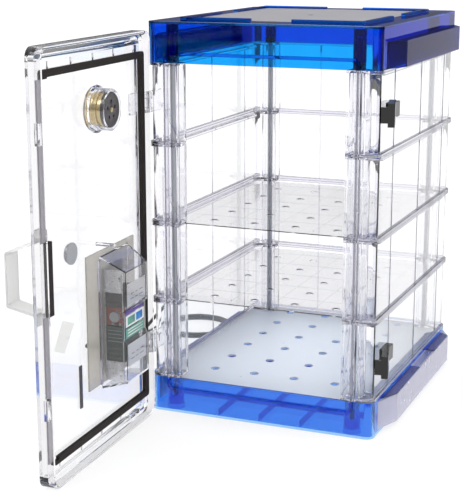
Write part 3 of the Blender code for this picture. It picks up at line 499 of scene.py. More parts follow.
def make_plug():
    x, y, z = PLUG_AT
    neck = [(0, 0), (0, 0.0036), (0.0050, 0.0045), (0.0190, 0.0075), (0.0190, 0)]
    body = painted(lathe(neck, (x, y + 0.0320, z), (x, y + 0.013, z), 24), [BLACK, BRASS])
    rings = []
    for i in range(4):
        at = y + 0.0295 - 0.004 * i
        radius = 0.0048 + 0.0009 * i
        rings.append(("-", lathe(
            [(0, radius - 0.0008), (0, radius + 0.003), (0.0016, radius + 0.003), (0.0016, radius - 0.0006)],
            (x, at, z), (x, at - 0.01, z), 24,
        )))
    fused(body, rings)
    outline = filleted([
        (x - 0.0130, y - 0.0120), (x + 0.0130, y - 0.0120), (x + 0.0130, y + 0.0060),
        (x + 0.0070, y + 0.0145), (x - 0.0070, y + 0.0145), (x - 0.0130, y + 0.0060),
    ], 0.003)
    block = painted(plate([outline], z - 0.0092, z + 0.0092), [BLACK, BRASS])
    steps = [("+", block)]
    for side in (-1, 1):
        mid = x + side * 0.0064
        blade = box((mid - 0.0008, y - 0.029, z - 0.0031), (mid + 0.0008, y - 0.010, z + 0.0031))
        steps.append(plus(blade, [BLACK, BRASS], 1))
        hole = bar(0.0013, (mid - 0.004, y - 0.0255, z), (mid + 0.004, y - 0.0255, z), 12)
        steps.append(minus(hole, [BLACK, BRASS], 1))
    fused(body, steps)
    for i in range(3):
        low = (x - 0.0105 + 0.0005, y - 0.006 + 0.004 * i, z + 0.0087)
        fused(body, [minus(box(low, (x + 0.010, low[1] + 0.0016, z + 0.0100)), [BLACK, BRASS])])
    return piece(body, "mains_plug", "cabinet", ["power_plug"], bevel=0.0004)


def make_tie():
    """A strap round the coil's strands on its left."""
    x, y = COIL_AT

    def loop(left, right, low, high, radius):
        return filleted([(x - left, low), (x - right, low), (x - right, high), (x - left, high)], radius)

    outer = loop(0.0613, 0.0488, 0.0001, 0.0107, 0.002)
    inner = loop(0.0604, 0.0497, 0.0003, 0.0099, 0.0015)
    strap = painted(plate([outer, inner], -y - 0.006, -y + 0.002, "XZ"), [BLACK])
    knot = box((x - 0.0620, y - 0.004, 0.0045), (x - 0.0600, y + 0.004, 0.0065))
    fused(strap, [plus(knot, [BLACK])])
    return piece(strap, "coil_tie", "cabinet", bevel=0)


make_camera()
CORD, CORD_PATH, CORD_LENGTH = make_cord()
PLUG = make_plug()
TIE = make_tie()


# ---------------------------------------------------------------- cabinet


def rod_places():
    return [(x, y) for x in (-ROD_X, ROD_X) for y in (-ROD_Y, ROD_Y)]


def wall_loops():
    """Plan of a tier's wall: a C open to the front, with a square tube at each corner."""
    out_x, out_y = WIDTH / 2 - WALL_INSET, DEPTH / 2 - WALL_INSET
    in_x, in_y = out_x - TIER_WALL, out_y - TIER_WALL
    tube_x, tube_y = MOUTH + POST, out_y - POST_DEPTH
    right = [(MOUTH, -out_y)] + arc((out_x - CORNER, -out_y + CORNER), CORNER, -90, 0, 8)
    right += arc((out_x - CORNER, out_y - CORNER), CORNER, 0, 90, 8)
    outer = right + [(-x, y) for x, y in reversed(right)]
    bend = CORNER - TIER_WALL
    left = [(-MOUTH, -tube_y), (-tube_x, -tube_y), (-tube_x, -in_y)]
    left += arc((-in_x + bend, -in_y + bend), bend, 270, 180, 8)
    left += arc((-in_x + bend, in_y - bend), bend, 180, 90, 8)
    left += [(-tube_x, in_y), (-tube_x, tube_y), (-MOUTH, tube_y), (-MOUTH, in_y)]
    inner = left + [(-x, y) for x, y in reversed(left)]
    half_x, half_y = POST / 2 - TIER_WALL, POST_DEPTH / 2 - TIER_WALL
    bores = [rounded(x - half_x, y - half_y, x + half_x, y + half_y, 0.002, 3) for x, y in rod_places()]
    return [outer + inner] + bores


def ledge_loops():
    """Plan of a tier's flange: a C round the wall, solid at the corners but for the rod holes."""
    out_x, out_y = WIDTH / 2, DEPTH / 2
    mouth, tube_y = MOUTH + 0.0005, ROD_Y - POST_DEPTH / 2 - 0.0005
    in_x, in_y = out_x - FLANGE_REACH, out_y - FLANGE_REACH - 0.001
    right = [(mouth, -out_y)] + arc((out_x - CORNER, -out_y + CORNER), CORNER, -90, 0, 8)
    right += arc((out_x - CORNER, out_y - CORNER), CORNER, 0, 90, 8)
    outer = right + [(-x, y) for x, y in reversed(right)]
    left = [(-mouth, -tube_y), (-in_x, -tube_y), (-in_x, tube_y), (-mouth, tube_y), (-mouth, in_y)]
    inner = left + [(-x, y) for x, y in reversed(left)]
    return [outer + inner] + [circle(x, y, ROD_RADIUS + 0.0005, 16) for x, y in rod_places()]


def make_tier(number):
    low, high = TIER_JOINTS[number - 1] + GAP, TIER_JOINTS[number]
    wall_low, wall_high = low + 0.0012, high - 0.0012
    made = painted(plate(wall_loops(), wall_low, wall_high), CLEARS)
    # Flanges, ridges, rails and ribs take index 1, the lavender painted edge shade.
    steps = [plus(plate(ledge_loops(), low, low + FLANGE), CLEARS, 1)]
    steps.append(plus(plate(ledge_loops(), high - FLANGE, high), CLEARS, 1))
    front = -DEPTH / 2 + WALL_INSET + 0.001
    face = WIDTH / 2 - WALL_INSET - TIER_WALL
    for side in (-1, 1):
        edges = sorted((side * (RIDGE_HALF - RIDGE_WIDTH), side * RIDGE_HALF))
        ridge = box((edges[0], -DEPTH / 2 - RIDGE_REACH, low + GAP), (edges[1], front, high - GAP))
        steps.append(plus(ridge, CLEARS, 1))
        ends = sorted((side * (face - 0.0085), side * (face + 0.001)))
        rail = box((ends[0], -0.1695, high - 0.0046 - FLANGE), (ends[1], 0.1695, high - 0.0046))
        steps.append(plus(rail, CLEARS, 1))
        for y in (-0.122, 0.013, 0.143):
            xs = sorted((side * 0.1590, side * 0.1607))
            rib = box((xs[0], y - 0.0012, low + 0.002), (xs[1], y + 0.0012, high - 0.002))
            steps.append(plus(rib, CLEARS, 1))
        rib = box((side * 0.05 - 0.001, 0.1950, low + 0.002), (side * 0.05 + 0.001, 0.1967, high - 0.002))
        steps.append(plus(rib, CLEARS, 1))
    fused(made, steps)
    # Corner faces take the lavender clear as a painted shade line down each corner; faces at the mouth take
    # the post's clear.
    for face in made.data.polygons:
        x, y, _ = face.center
        if face.material_index == 0 and abs(x) > 0.1570 and abs(y) > 0.1880:
            face.material_index = 1
        elif face.material_index == 0 and abs(x) > MOUTH - 0.001 and abs(y) > 0.1700:
            face.material_index = 2
    webs = []
    for side in (-1, 1):
        z0, z1 = low + 0.012, low + 0.046
        near, far = side * 0.1205, side * 0.1405
        profile = [(near, z0), (near, z0 - 0.0012), (far, z1 - 0.0012), (far, z1)]
        web = plate([profile], ROD_Y - 0.0098, ROD_Y + 0.0098, "XZ")
        hole = bar(ROD_RADIUS + 0.0012, (side * ROD_X, -ROD_Y, low), (side * ROD_X, -ROD_Y, high), 20)
        webs.append(painted(fused(painted(web, CLEARS, 2), [minus(hole, CLEARS, 2)]), CLEARS, 2))
    piece(joined(webs), f"post_webs_{number}", "cabinet", bevel=0)
    piece(made, f"clear_tier_{number}", "cabinet", [f"tier_{number}"], bevel=0.0004)


def make_shelf(name, node, top, half_x, half_y, rod_holes, look):
    """A perforated plate with a raised rim at each hole and a lattice beneath."""
    outline = rounded(-half_x, -half_y, half_x, half_y, CORNER, 4)
    holes = [circle(x, y, HOLE_RADIUS) for x in HOLE_X for y in HOLE_Y if y < half_y - 0.01]
    if rod_holes:
        holes += [circle(x, y, 0.0102) for x, y in rod_places()]
    skin = top - 0.0004
    made = painted(plate([outline] + holes, skin - 0.0014, skin), CLEARS)
    rims = [plate([circle(x, y, 0.0063), circle(x, y, HOLE_RADIUS + 0.00005)], skin - 0.0003, top)
            for x in HOLE_X for y in HOLE_Y if y < half_y - 0.01]
    # Hole rims take index 1, the lavender clear, as painted edge shade round each hole.
    rims = painted(joined(rims_painted(rims)), CLEARS, 1)
    ribs = []
    low = top - SHELF_THICK
    for x in (-0.120, -0.060, 0.0, 0.060, 0.120):
        ribs.append(box((x - 0.0008, -half_y + 0.02, low), (x + 0.0008, half_y - 0.02, skin - 0.0010)))
    for y in [v + 0.03125 for v in HOLE_Y[:-1]]:
        start = (-half_x + 0.02, y - 0.0008, low + 0.0002)
        ribs.append(box(start, (half_x - 0.02, y + 0.0008, skin - 0.0009)))
    steps = [("+", rims)] + [plus(rib, CLEARS, 0) for rib in ribs]
    fused(made, steps)
    made.data.materials[0] = look
    piece(made, name, "cabinet", [node], bevel=0)
    made.data.shade_flat()


# Paints the rims with index 1, the lavender painted edge shade.
def rims_painted(objects):
    return [painted(o, CLEARS, 1) for o in objects]


def skirt(low, high, side, palette):
    """A hand-hold along one side of a cap: a hollow ledge open beneath."""
    wall = WIDTH / 2 - 0.0015
    thin = 0.0025
    inside = WIDTH / 2 + 0.0005
    body = [(wall, -SKIRT_START), (SKIRT_OUT, -SKIRT_FRONT)]
    body += [(SKIRT_OUT, SKIRT_REAR), (wall, SKIRT_START + 0.012)]
    pocket = [(inside, -SKIRT_START + 0.008), (SKIRT_OUT - thin, -SKIRT_FRONT)]
    pocket += [(SKIRT_OUT - thin, SKIRT_REAR), (inside, SKIRT_START + 0.003)]
    loops = [[(side * x, y) for x, y in loop] for loop in (body, pocket)]
    return (painted(plate([loops[0]], low, high), palette, 2),
            painted(plate([loops[1]], low - 0.001, high - thin), palette, 2))


def ridge_loop(low, high, opened):
    """The cap's share of the sealing ridge: a U, upright or upside down, in the XZ plane."""
    outer, inner = RIDGE_HALF, RIDGE_HALF - RIDGE_WIDTH
    big, small = RIDGE_CORNER, RIDGE_CORNER - RIDGE_WIDTH
    if opened == "above":
        points = [(-outer, high)] + arc((-outer + big, low + big), big, 180, 270, 6)
        points += arc((outer - big, low + big), big, 270, 360, 6) + [(outer, high), (inner, high)]
        edge = low + RIDGE_WIDTH
        points += arc((inner - small, edge + small), small, 360, 270, 6)
        return points + arc((-inner + small, edge + small), small, 270, 180, 6) + [(-inner, high)]
    points = [(outer, low)] + arc((outer - big, high - big), big, 0, 90, 6)
    points += arc((-outer + big, high - big), big, 90, 180, 6) + [(-outer, low), (-inner, low)]
    edge = high - RIDGE_WIDTH
    points += arc((-inner + small, edge - small), small, 180, 90, 6)
    return points + arc((inner - small, edge - small), small, 90, 0, 6) + [(inner, low)]


def cap_blank(low, high, pocket_low, pocket_high, palette, soft=0.0, at_top=True):
    """A rounded block hollowed from one end, the rim of its closed end rounded by soft."""
    half_x, half_y, wall = WIDTH / 2, DEPTH / 2, 0.003
    made = plate([rounded(-half_x, -half_y, half_x, half_y, CORNER, 10)], low, high)
    shape = bmesh.new()
    shape.from_mesh(made.data)
    level = high if at_top else low
    rim = [e for e in shape.edges if all(abs(v.co.z - level) < 1e-6 for v in e.verts) and e.is_manifold
           and abs(e.link_faces[0].normal.z - e.link_faces[1].normal.z) > 0.5]
    bmesh.ops.bevel(
        shape, geom=rim, offset=soft, segments=5, profile=0.5, affect="EDGES", clamp_overlap=True,
    )
    shape.to_mesh(made.data)
    shape.free()
    painted(made, palette)
    inside = rounded(-half_x + wall, -half_y + wall, half_x - wall, half_y - wall, CORNER - wall, 10)
    return fused(made, [minus(plate([inside], pocket_low, pocket_high), palette)])


def make_base():
    top = TIER_JOINTS[0]
    made = cap_blank(0.0, top, 0.003, top + 0.01, BASE_BLUES, 0.0025, False)
    steps = []
    for side in (-1, 1):
        body, hollow = skirt(0.007, 0.046, side, BASE_BLUES)
        window = sorted((side * (WIDTH / 2 + 0.0008), side * (SKIRT_OUT - 0.0025)))
        steps += [("+", body), ("-", hollow)]
        steps.append(minus(box((window[0], -0.009, 0.03), (window[1], 0.074, 0.06)), BASE_BLUES, 2))
    fused(made, steps)
    loop = ridge_loop(0.0322, top - GAP, "above")
    ridge = plate([loop], DEPTH / 2 - 0.001, DEPTH / 2 + RIDGE_REACH, "XZ")
    steps = [plus(ridge, BASE_BLUES, 1)]
    for x in (-0.060, 0.0, 0.060):
        steps.append(plus(box((x - 0.001, -0.195, 0.002), (x + 0.001, 0.195, 0.0125)), BASE_BLUES, 1))
    for y in (-0.130, -0.045, 0.045, 0.130):
        steps.append(plus(box((-0.1595, y - 0.001, 0.002), (0.1595, y + 0.001, 0.0120)), BASE_BLUES, 1))
    for x, y in rod_places():
        cone = [(0, 0), (0, 0.0125), (0.010, 0.0117), (0.036, 0.0092), (0.036, 0.0)]
        steps.append(plus(lathe(cone, (x, y, 0.002), (x, y, 0.040), 32), BASE_BLUES, 1))
    fused(made, steps)
    steps = []
    for x, y in rod_places():
        steps.append(minus(bar(ROD_RADIUS + 0.0005, (x, y, 0.021), (x, y, 0.06), 24), BASE_BLUES, 1))
    fused(made, steps)
    wedges = []
    for side in (-1, 1):
        for y0, y1 in ((-0.160, -0.009), (0.074, 0.170)):
            near, far = WIDTH / 2 + 0.0006, SKIRT_OUT - 0.0006
            front = [(near, y0), (far, max(y0, -SKIRT_FRONT)), (far, min(y1, SKIRT_REAR)), (near, y1)]
            strip = plate([[(side * a, b) for a, b in front]], 0.0461, 0.0472)
            wedges.append(painted(strip, BASE_BLUES, 1))
    piece(joined(wedges), "base_ledge_strips", "cabinet", bevel=0.0003)
    cups = []
    for x, y in rod_places():
        cup = [(0, 0.0048), (0, 0.0098), (0.0092, 0.0098)]
        cup += [(0.0092, 0.0086), (0.0020, 0.0074), (0.0020, 0.0048)]
        cups.append(painted(lathe(cup, (x, y, 0.0384), (x, y, 0.05), 32), CLEARS, 0))
    piece(joined(cups), "corner_cups", "cabinet", bevel=0.0002)
    piece(made, "blue_base", "cabinet", ["base_cap"], bevel=0.0006)


def make_top():
    low = TIER_JOINTS[-1] + GAP
    plate_top = HEIGHT - 0.004
    made = cap_blank(low, plate_top, low - 0.01, plate_top - 0.003, BLUES, 0.0065)
    steps = []
    for side in (-1, 1):
        body, hollow = skirt(low + GAP, 0.5245, side, BLUES)
        steps += [("+", body), ("-", hollow)]
        for y in (-0.085, 0.0, 0.085):
            xs = sorted((side * (WIDTH / 2 - 0.001), side * (SKIRT_OUT - 0.001)))
            fin = box((xs[0], y - 0.001, low + 0.004), (xs[1], y + 0.001, 0.5235))
            steps.append(plus(fin, BLUES, 1))
    fused(made, steps)
    loop = ridge_loop(low + GAP, 0.5053, "below")
    ridge = plate([loop], DEPTH / 2 - 0.001, DEPTH / 2 + RIDGE_REACH, "XZ")
    steps = [plus(ridge, BLUES, 1)]
    for x, y in rod_places():
        steps.append(plus(bar(0.0085, (x, y, 0.4995), (x, y, plate_top - 0.002), 32), BLUES, 1))
    rib_x, rib_y, gap, thick = 0.130, 0.160, 0.029, 0.006
    for side in (-1, 1):
        for end in (-1, 1):
            x0, x1 = sorted((side * gap, side * rib_x))
            y0, y1 = sorted((end * (rib_y - thick), end * rib_y))
            steps.append(plus(box((x0, y0, plate_top - 0.001), (x1, y1, HEIGHT)), BLUES, 3))
            x0, x1 = sorted((side * (rib_x - thick), side * rib_x))
            y0, y1 = sorted((end * gap, end * (rib_y - 0.002)))
            steps.append(plus(box((x0, y0, plate_top - 0.0012), (x1, y1, HEIGHT - 0.0001)), BLUES, 3))
    steps.append(plus(bar(0.0035, (0, 0, plate_top - 0.001), (0, 0, plate_top + 0.0008), 24), BLUES, 1))
    fused(made, steps)
    steps = []
    for x, y in rod_places():
        steps.append(minus(bar(ROD_RADIUS + 0.0005, (x, y, 0.48), (x, y, 0.5325), 24), BLUES, 1))
    fused(made, steps)
    # Faces of the one blue moulding are recoloured by side as painted shade: the right side and the skirt's
    # front and back faces in deep blue, the left side, back and top in royal blue; the front stays azure.
    for face in made.data.polygons:
        x, y, z = face.center
        if face.material_index == 0 and x > 0.158:
            face.material_index = 1
        elif face.material_index == 0 and (y > 0.194 or x < -0.158 or z > plate_top - 0.0035):
            face.material_index = 3
        elif face.material_index == 2 and abs(face.normal.y) > 0.15:
            face.material_index = 1
    outline = rounded(-0.1232, -0.1532, 0.1232, 0.1532, 0.004, 4)
    inlay = painted(plate([outline], plate_top + 0.0001, plate_top + 0.0006), [LILAC])
    piece(inlay, "top_inlay", "cabinet", bevel=0)
    piece(made, "blue_top", "cabinet", ["top_cap"], bevel=0.0006)


def make_rods():
    names = {"front_left": (-1, -1), "front_right": (1, -1), "rear_left": (-1, 1), "rear_right": (1, 1)}
    length = 0.531 - 0.0215
    for tag, (side, end) in names.items():
        profile = [(0, 0), (0, ROD_RADIUS - 0.0006)]
        for i in range(12):
            profile += [(0.0006 + 0.0010 * i, ROD_RADIUS), (0.0011 + 0.0010 * i, ROD_RADIUS - 0.0004)]
        profile.append((0.0135, ROD_RADIUS))
        start = length - 0.0420
        profile.append((start - 0.001, ROD_RADIUS))
        for i in range(40):
            profile += [(start + 0.0010 * i, ROD_RADIUS - 0.0004), (start + 0.0005 + 0.0010 * i, ROD_RADIUS)]
        profile += [(length, ROD_RADIUS - 0.0006), (length, 0)]
        x, y = side * ROD_X, end * ROD_Y
        rod = painted(lathe(profile, (x, y, 0.0215), (x, y, 0.6), 20), [ROD])
        piece(rod, f"threaded_rod_{tag}", "cabinet", [f"tie_rod_{tag}"], bevel=0)


make_base()
for number in range(1, 5):
    make_tier(number)
shelf_drop = 0.0046 - GAP - SHELF_THICK
for tag, joint in (("lower", TIER_JOINTS[1]), ("upper", TIER_JOINTS[2])):
    make_shelf(f"perforated_shelf_{tag}", f"shelf_{tag}", joint - shelf_drop, 0.1535, 0.1705, False, CLEAR)
make_shelf("perforated_floor", "floor_tray", TIER_JOINTS[0] - GAP, 0.1590, 0.1950, True, MILK)
make_top()
make_rods()


# ---------------------------------------------------------------- door


def door_x(u):
    """X of a point u metres from the hinge edge, with the door shut."""
    return u - DOOR_WIDTH / 2


def slab(loops, near, far):
    return plate(loops, -RIM_Y + near, -RIM_Y + far, "XZ")


def door_box(u_span, depths, z_span):
    ys = sorted(RIM_Y - d for d in depths)
    return box((door_x(u_span[0]), ys[0], z_span[0]), (door_x(u_span[1]), ys[1], z_span[1]))


def door_lathe(at, profile, sides=48):
    """Turned (depth, radius) points about an axis square to the shut door."""
    x, z = door_x(at[0]), at[1]
    first = profile[0][0]
    points = [(depth - first, radius) for depth, radius in profile]
    return lathe(points, (x, RIM_Y - first, z), (x, RIM_Y - first - 1, z), sides)


def door_round(at, radius, depths, sides=32):
    return door_lathe(at, [(depths[0], 0), (depths[0], radius), (depths[1], radius), (depths[1], 0)], sides)


def make_door():
    half = DOOR_WIDTH / 2

    def inset(by, radius, steps=8):
        return rounded(-half + by, DOOR_LOW + by, half - by, DOOR_HIGH - by, radius, steps)

    made = painted(slab([inset(0.0, DOOR_CORNER)], 0.0, DOOR_DEEP), DOOR_CLEARS)
    tray = painted(slab([inset(SIDE_WALL, DOOR_CORNER - SIDE_WALL)], -0.001, TRAY_DEEP), DOOR_CLEARS)
    recess = painted(slab([inset(FRAME, 0.006)], TRAY_DEEP + PANEL, DOOR_DEEP + 0.001), DOOR_CLEARS)
    steps = [("-", tray), ("-", recess)]
    for at, radius in ((GAUGE, 0.0235), (PORT, 0.0120), (GLAND, 0.0060)):
        steps.append(minus(door_round(at, radius, (-0.001, DOOR_DEEP + 0.001)), DOOR_CLEARS))
    for z in (0.107, 0.437):
        keeper = door_box((DOOR_WIDTH - 0.0015, DOOR_WIDTH + 0.0084), (0.001, 0.006), (z - 0.013, z + 0.013))
        steps.append(plus(keeper, DOOR_CLEARS, 0))
    fused(made, steps)
    steps = []
    for i in range(5):
        u = 0.035 + 0.058 * i
        for z in (0.5075, 0.0212):
            tick = door_box((u - 0.0008, u + 0.0008), (0.0080, TRAY_DEEP + 0.001), (z, z + 0.0088))
            steps.append(plus(tick, DOOR_CLEARS, 1))
    fused(made, steps)
    # Faces that face neither front nor back take the grey clear, painted shade along the door's edges.
    for face in made.data.polygons:
        if abs(face.normal.y) < 0.5:
            face.material_index = 1
    piece(made, "clear_door", "door", ["door_shell"], bevel=0.0006, door=True)

    # Rounded rim beads whose grey is painted shade.
    beads = []
    for low, high in BEADS:
        outline = filleted([
            (door_x(0.2800), RIM_Y - 0.0088), (door_x(0.2840), RIM_Y - 0.0080),
            (door_x(0.2956), RIM_Y - 0.0070), (door_x(0.2956), RIM_Y - 0.0093),
            (door_x(0.2800), RIM_Y - 0.0093),
        ], 0.0006)
        beads.append(painted(plate([outline], low, high), [BEAD_SHADE]))
    piece(joined(beads), "rim_bead_painted_shade", "door", bevel=0.0002, door=True)


def make_gasket():
    outer = rounded(-0.139, 0.0300, 0.139, 0.5075, 0.004, 4)
    inner = rounded(-0.128, 0.0385, 0.128, 0.4990, 0.002, 4)
    foam = painted(slab([outer, inner], 0.0040, TRAY_DEEP - GAP), [FOAM])
    for low, high in BEADS:
        span = (low - 0.0002, high + 0.0002)
        fused(foam, [
            minus(door_box((0.2765, 0.2900), (0.0030, 0.0087), span), [FOAM]),
            minus(door_box((0.2766, 0.2850), (0.0080, 0.0120), span), [FOAM]),
        ])
    piece(foam, "foam_gasket", "door", ["door_gasket"], bevel=0.0010, door=True, segments=2)


def make_handle():
    feet, thick, reach = DOOR_DEEP + GAP, 0.003, 0.060
    outer = [(feet, 0.204), (feet + thick, 0.204), (feet + thick, 0.2175), (reach, 0.2255)]
    outer += [(reach, 0.2925), (feet + thick, 0.308), (feet + thick, 0.3215), (feet, 0.3215)]
    inner = [(feet, 0.3055), (feet + 0.0005, 0.3050), (reach - thick, 0.2900)]
    inner += [(reach - thick, 0.2285), (feet + 0.0005, 0.2205), (feet, 0.2200)]
    profile = filleted([(RIM_Y - d, z) for d, z in outer + inner], 0.0022)
    strap = painted(plate([profile], door_x(0.266), door_x(0.293), "YZ"), [GRIP])
    piece(strap, "strap_handle", "door", ["door_handle"],
          bevel=0.0008, door=True, segments=3)


def make_hygrometer():
    tray = TRAY_DEEP
    out = tray + PANEL
    collar = [(-0.0125, 0.0235), (-0.0125, 0.0250), (-0.0118, 0.026)]
    collar += [(tray - 0.0045, 0.026), (tray - 0.0030, 0.0268)]
    collar += [(tray - 0.0023, 0.0290), (tray - 0.0019, 0.030), (tray - GAP, 0.030), (tray - GAP, 0.0235)]
    piece(painted(door_lathe(GAUGE, collar), CLEARS), "gauge_collar", "door",
          ["hygrometer_collar"], bevel=0, door=True)
    case = [(-0.0060, 0.0), (-0.0060, 0.0206), (-0.0005, 0.0210), (-0.0005, 0.0230)]
    case += [(out + GAP, 0.0230), (out + GAP, 0.0272), (out + 0.0008, 0.0280)]
    case += [(out + 0.0026, 0.0280), (out + 0.0038, 0.0268), (out + 0.0045, 0.0252), (out + 0.0045, 0.0228)]
    case += [(out + 0.0036, 0.0215), (0.0010, 0.0215), (0.0010, 0.0200), (-0.0040, 0.0196), (-0.0040, 0.0)]
    can = painted(door_lathe(GAUGE, case), [BRASS, EDGE_SHADED_CLEAR, GREY])
    # Faces standing out in front of the panel take the lavender clear, painted edge shade.
    for face in can.data.polygons:
        depth = RIM_Y - face.center.y
        if depth > out + GAP / 2:
            face.material_index = 1
    piece(can, "gauge_case", "door", ["hygrometer_case"], bevel=0, door=True)
    back = [(-0.0063, 0.0), (-0.0063, 0.0222), (-0.0110, 0.0222), (-0.0120, 0.0212), (-0.0120, 0.0190)]
    back += [(-0.0112, 0.0184), (-0.0112, 0.0)]
    disc = painted(door_lathe(GAUGE, back), [DARK, BRASS])
    steps = []
    for i in range(5):
        angle = math.radians(90 + 72 * i)
        at = (GAUGE[0] + 0.0105 * math.cos(angle), GAUGE[1] + 0.0105 * math.sin(angle))
        steps.append(minus(door_round(at, 0.0022, (-0.0140, -0.0092), 20), [DARK, BRASS]))
    steps.append(plus(door_round(GAUGE, 0.0032, (-0.0100, -0.0119), 24), [DARK, BRASS], 1))
    fused(disc, steps)
    piece(disc, "gauge_back", "door", ["hygrometer_back"], bevel=0.0002, door=True)

    face = painted(door_round(GAUGE, 0.0211, (0.0080, 0.0090), 48), [WHITE, INK])
    fused(face, [minus(door_round(GAUGE, 0.0016, (0.0, 0.02), 20), [WHITE, INK])])
    marks = []
    for i in range(41):
        angle = math.radians(210 - 6 * i)
        long = i % 5 == 0
        inner, outer = (0.0168, 0.0198) if long else (0.0182, 0.0198)
        wide = 0.00030 if long else 0.00016
        tick = box((inner, -wide, 0), (outer, wide, 0.00012))
        centre = Matrix.Translation((door_x(GAUGE[0]), RIM_Y - 0.0090, GAUGE[1]))
        way = centre @ Matrix.Rotation(math.pi / 2, 4, "X")
        tick.data.transform(way @ Matrix.Rotation(angle, 4, "Z"))
        marks.append(painted(tick, [INK]))
    for i, label in enumerate(("20", "40", "60", "80")):
        text = bpy.data.curves.new("numeral", "FONT")
        text.body = label
        text.size = 0.0042
        text.extrude = 0.00005
        text.align_x = "CENTER"
        text.align_y = "CENTER"
        drawn = linked(text, "numeral")
        bpy.context.view_layer.update()
        mesh = bpy.data.meshes.new_from_object(drawn.evaluated_get(bpy.context.evaluated_depsgraph_get()))
        bpy.data.objects.remove(drawn)
        angle = math.radians(180 - 60 * i)
        across, above = 0.0136 * math.cos(angle), 0.0136 * math.sin(angle)
        at = (door_x(GAUGE[0]) + across, RIM_Y - 0.00907, GAUGE[1] + above)
        mesh.transform(Matrix.Translation(at) @ Matrix.Rotation(math.pi / 2, 4, "X"))
        marks.append(painted(linked(mesh, "numeral"), [INK]))
    piece(joined(marks), "dial_marks", "door", bevel=0, door=True)
    piece(face, "dial_face", "door", ["hygrometer_dial"], bevel=0, door=True)
    arbor = [(-0.0037, 0.0), (-0.0037, 0.0012), (0.0118, 0.0012), (0.0125, 0.0008), (0.0125, 0.0)]
    piece(painted(door_lathe(GAUGE, arbor, 20), [STEEL]), "dial_arbor", "door",
          ["hygrometer_arbor"], bevel=0, door=True)
    lens = [(0.0145, 0.0), (0.0145, 0.0212), (0.0152, 0.0212)]
    lens += [(0.0157, 0.0180), (0.0160, 0.0100), (0.0160, 0.0)]
    piece(painted(door_lathe(GAUGE, lens), [CLEAR]), "dial_lens", "door",
          ["hygrometer_lens"], bevel=0, door=True)

    x, z = door_x(GAUGE[0]), GAUGE[1]
    pointer = [(x - 0.0007, z - 0.0085), (x + 0.0007, z - 0.0085), (x + 0.0007, z)]
    pointer += [(x + 0.00015, z + 0.0160), (x - 0.00015, z + 0.0160), (x - 0.0007, z)]
    needle = painted(slab([pointer], 0.0098, 0.0106), [BLACK])
    hub = painted(door_round(GAUGE, 0.0026, (0.0096, 0.0110), 24), [BLACK])
    tail = painted(door_round((GAUGE[0], GAUGE[1] - 0.0105), 0.0024, (0.0097, 0.0107), 24), [BLACK])
    bore = painted(door_round(GAUGE, 0.0015, (0.0, 0.02), 20), [BLACK])
    fused(needle, [("+", hub), ("+", tail), ("-", bore)])
    piece(needle, "dial_needle", "needle", ["hygrometer_needle"], bevel=0.0001, door=True)


def frustum(near, far, depths):
    """A tapering block: (u0, u1, z0, z1) at the first depth and at the second."""
    spots = []
    for (u0, u1, z0, z1), depth in ((near, depths[0]), (far, depths[1])):
        spots += [(door_x(u), RIM_Y - depth, z) for u, z in ((u0, z0), (u1, z0), (u1, z1), (u0, z1))]
    faces = [(0, 1, 2, 3), (7, 6, 5, 4)] + [(i, (i + 1) % 4, 4 + (i + 1) % 4, 4 + i) for i in range(4)]
    mesh = bpy.data.meshes.new("frustum")
    mesh.from_pydata(spots, [], faces)
    return linked(outward(mesh), "frustum")


def make_cover():
    back = TRAY_DEEP - 0.0026
    wall = 0.0018
    outer = frustum((0.0674, 0.1502, 0.0839, 0.2602), (0.0755, 0.140, 0.091, 0.240), (back, -0.025))
    inner = frustum(
        (0.0694, 0.1482, 0.0859, 0.2582), (0.0755 + wall, 0.140 - wall, 0.091 + wall, 0.240 - wall),
        (back + 0.002, -0.025 + wall),
    )
    painted(outer, CLEARS)
    painted(inner, CLEARS)

    def groove(by):
        """The notch's profile, moved inwards by a wall's thickness."""
        mouth, lip, floor = RIM_Y + 0.030, RIM_Y + 0.025 - by * 0.9, RIM_Y + 0.0210 - by
        points = [(mouth, 0.1430 - by), (lip, 0.1430 - by * 0.4), (floor, 0.1480 - by * 0.4)]
        points += [(floor, 0.1855 + by * 0.4), (lip, 0.1905 + by * 0.4), (mouth, 0.1905 + by)]
        return painted(plate([points], door_x(0.05), door_x(0.17), "YZ"), CLEARS)

    fused(outer, [("-", groove(0.0))])
    fused(inner, [("-", groove(wall))])
    fused(outer, [("-", inner)])
    lip = door_box((0.1502, 0.1546), (back, back - 0.0016), (0.0900, 0.2560))
    fused(outer, [plus(lip, CLEARS, 1)])
    piece(outer, "dryer_case", "door", ["dryer_cover"],
          bevel=0.0007, door=True, segments=3)


def make_dryer_prints():
    """Blank labels and printed marks on the dryer, with dashes in place of wording."""
    prints = []
    for z0, z1 in ((0.1925, 0.2220), (0.1120, 0.1415)):
        prints.append(painted(door_box((0.0800, 0.1350), (-0.0228, -0.0224), (z0, z1)), [WHITE]))
        for row in range(2):
            z = z0 + 0.0080 + row * 0.0065
            for u, length in ((0.0880, 0.012), (0.1040, 0.008), (0.1160, 0.010)):
                dash = door_box((u, u + length - 0.002 * (row % 2)), (-0.0230, -0.0228), (z, z + 0.0008))
                prints.append(painted(dash, [INK]))
    under, over = (-0.0213, -0.02105), (-0.0215, -0.0213)
    for us, depths, zs, look in (
        ((0.0800, 0.1350), under, (0.1805, 0.1850), PURPLE),
        ((0.0800, 0.1350), under, (0.1640, 0.1790), WHITE),
        ((0.0850, 0.1040), over, (0.1665, 0.1765), SKY),
        ((0.1080, 0.1300), over, (0.1665, 0.1765), LEAF),
        ((0.0800, 0.1350), under, (0.1490, 0.1620), LEAF),
    ):
        prints.append(painted(door_box(us, depths, zs), [look]))
    for i in range(3):
        z = 0.1512 + 0.0038 * i
        prints.append(painted(door_box((0.0840, 0.1300), over, (z, z + 0.0012)), [WHITE]))
    piece(joined(prints), "dryer_labels", "door", ["dryer_label_panel"], bevel=0, door=True)


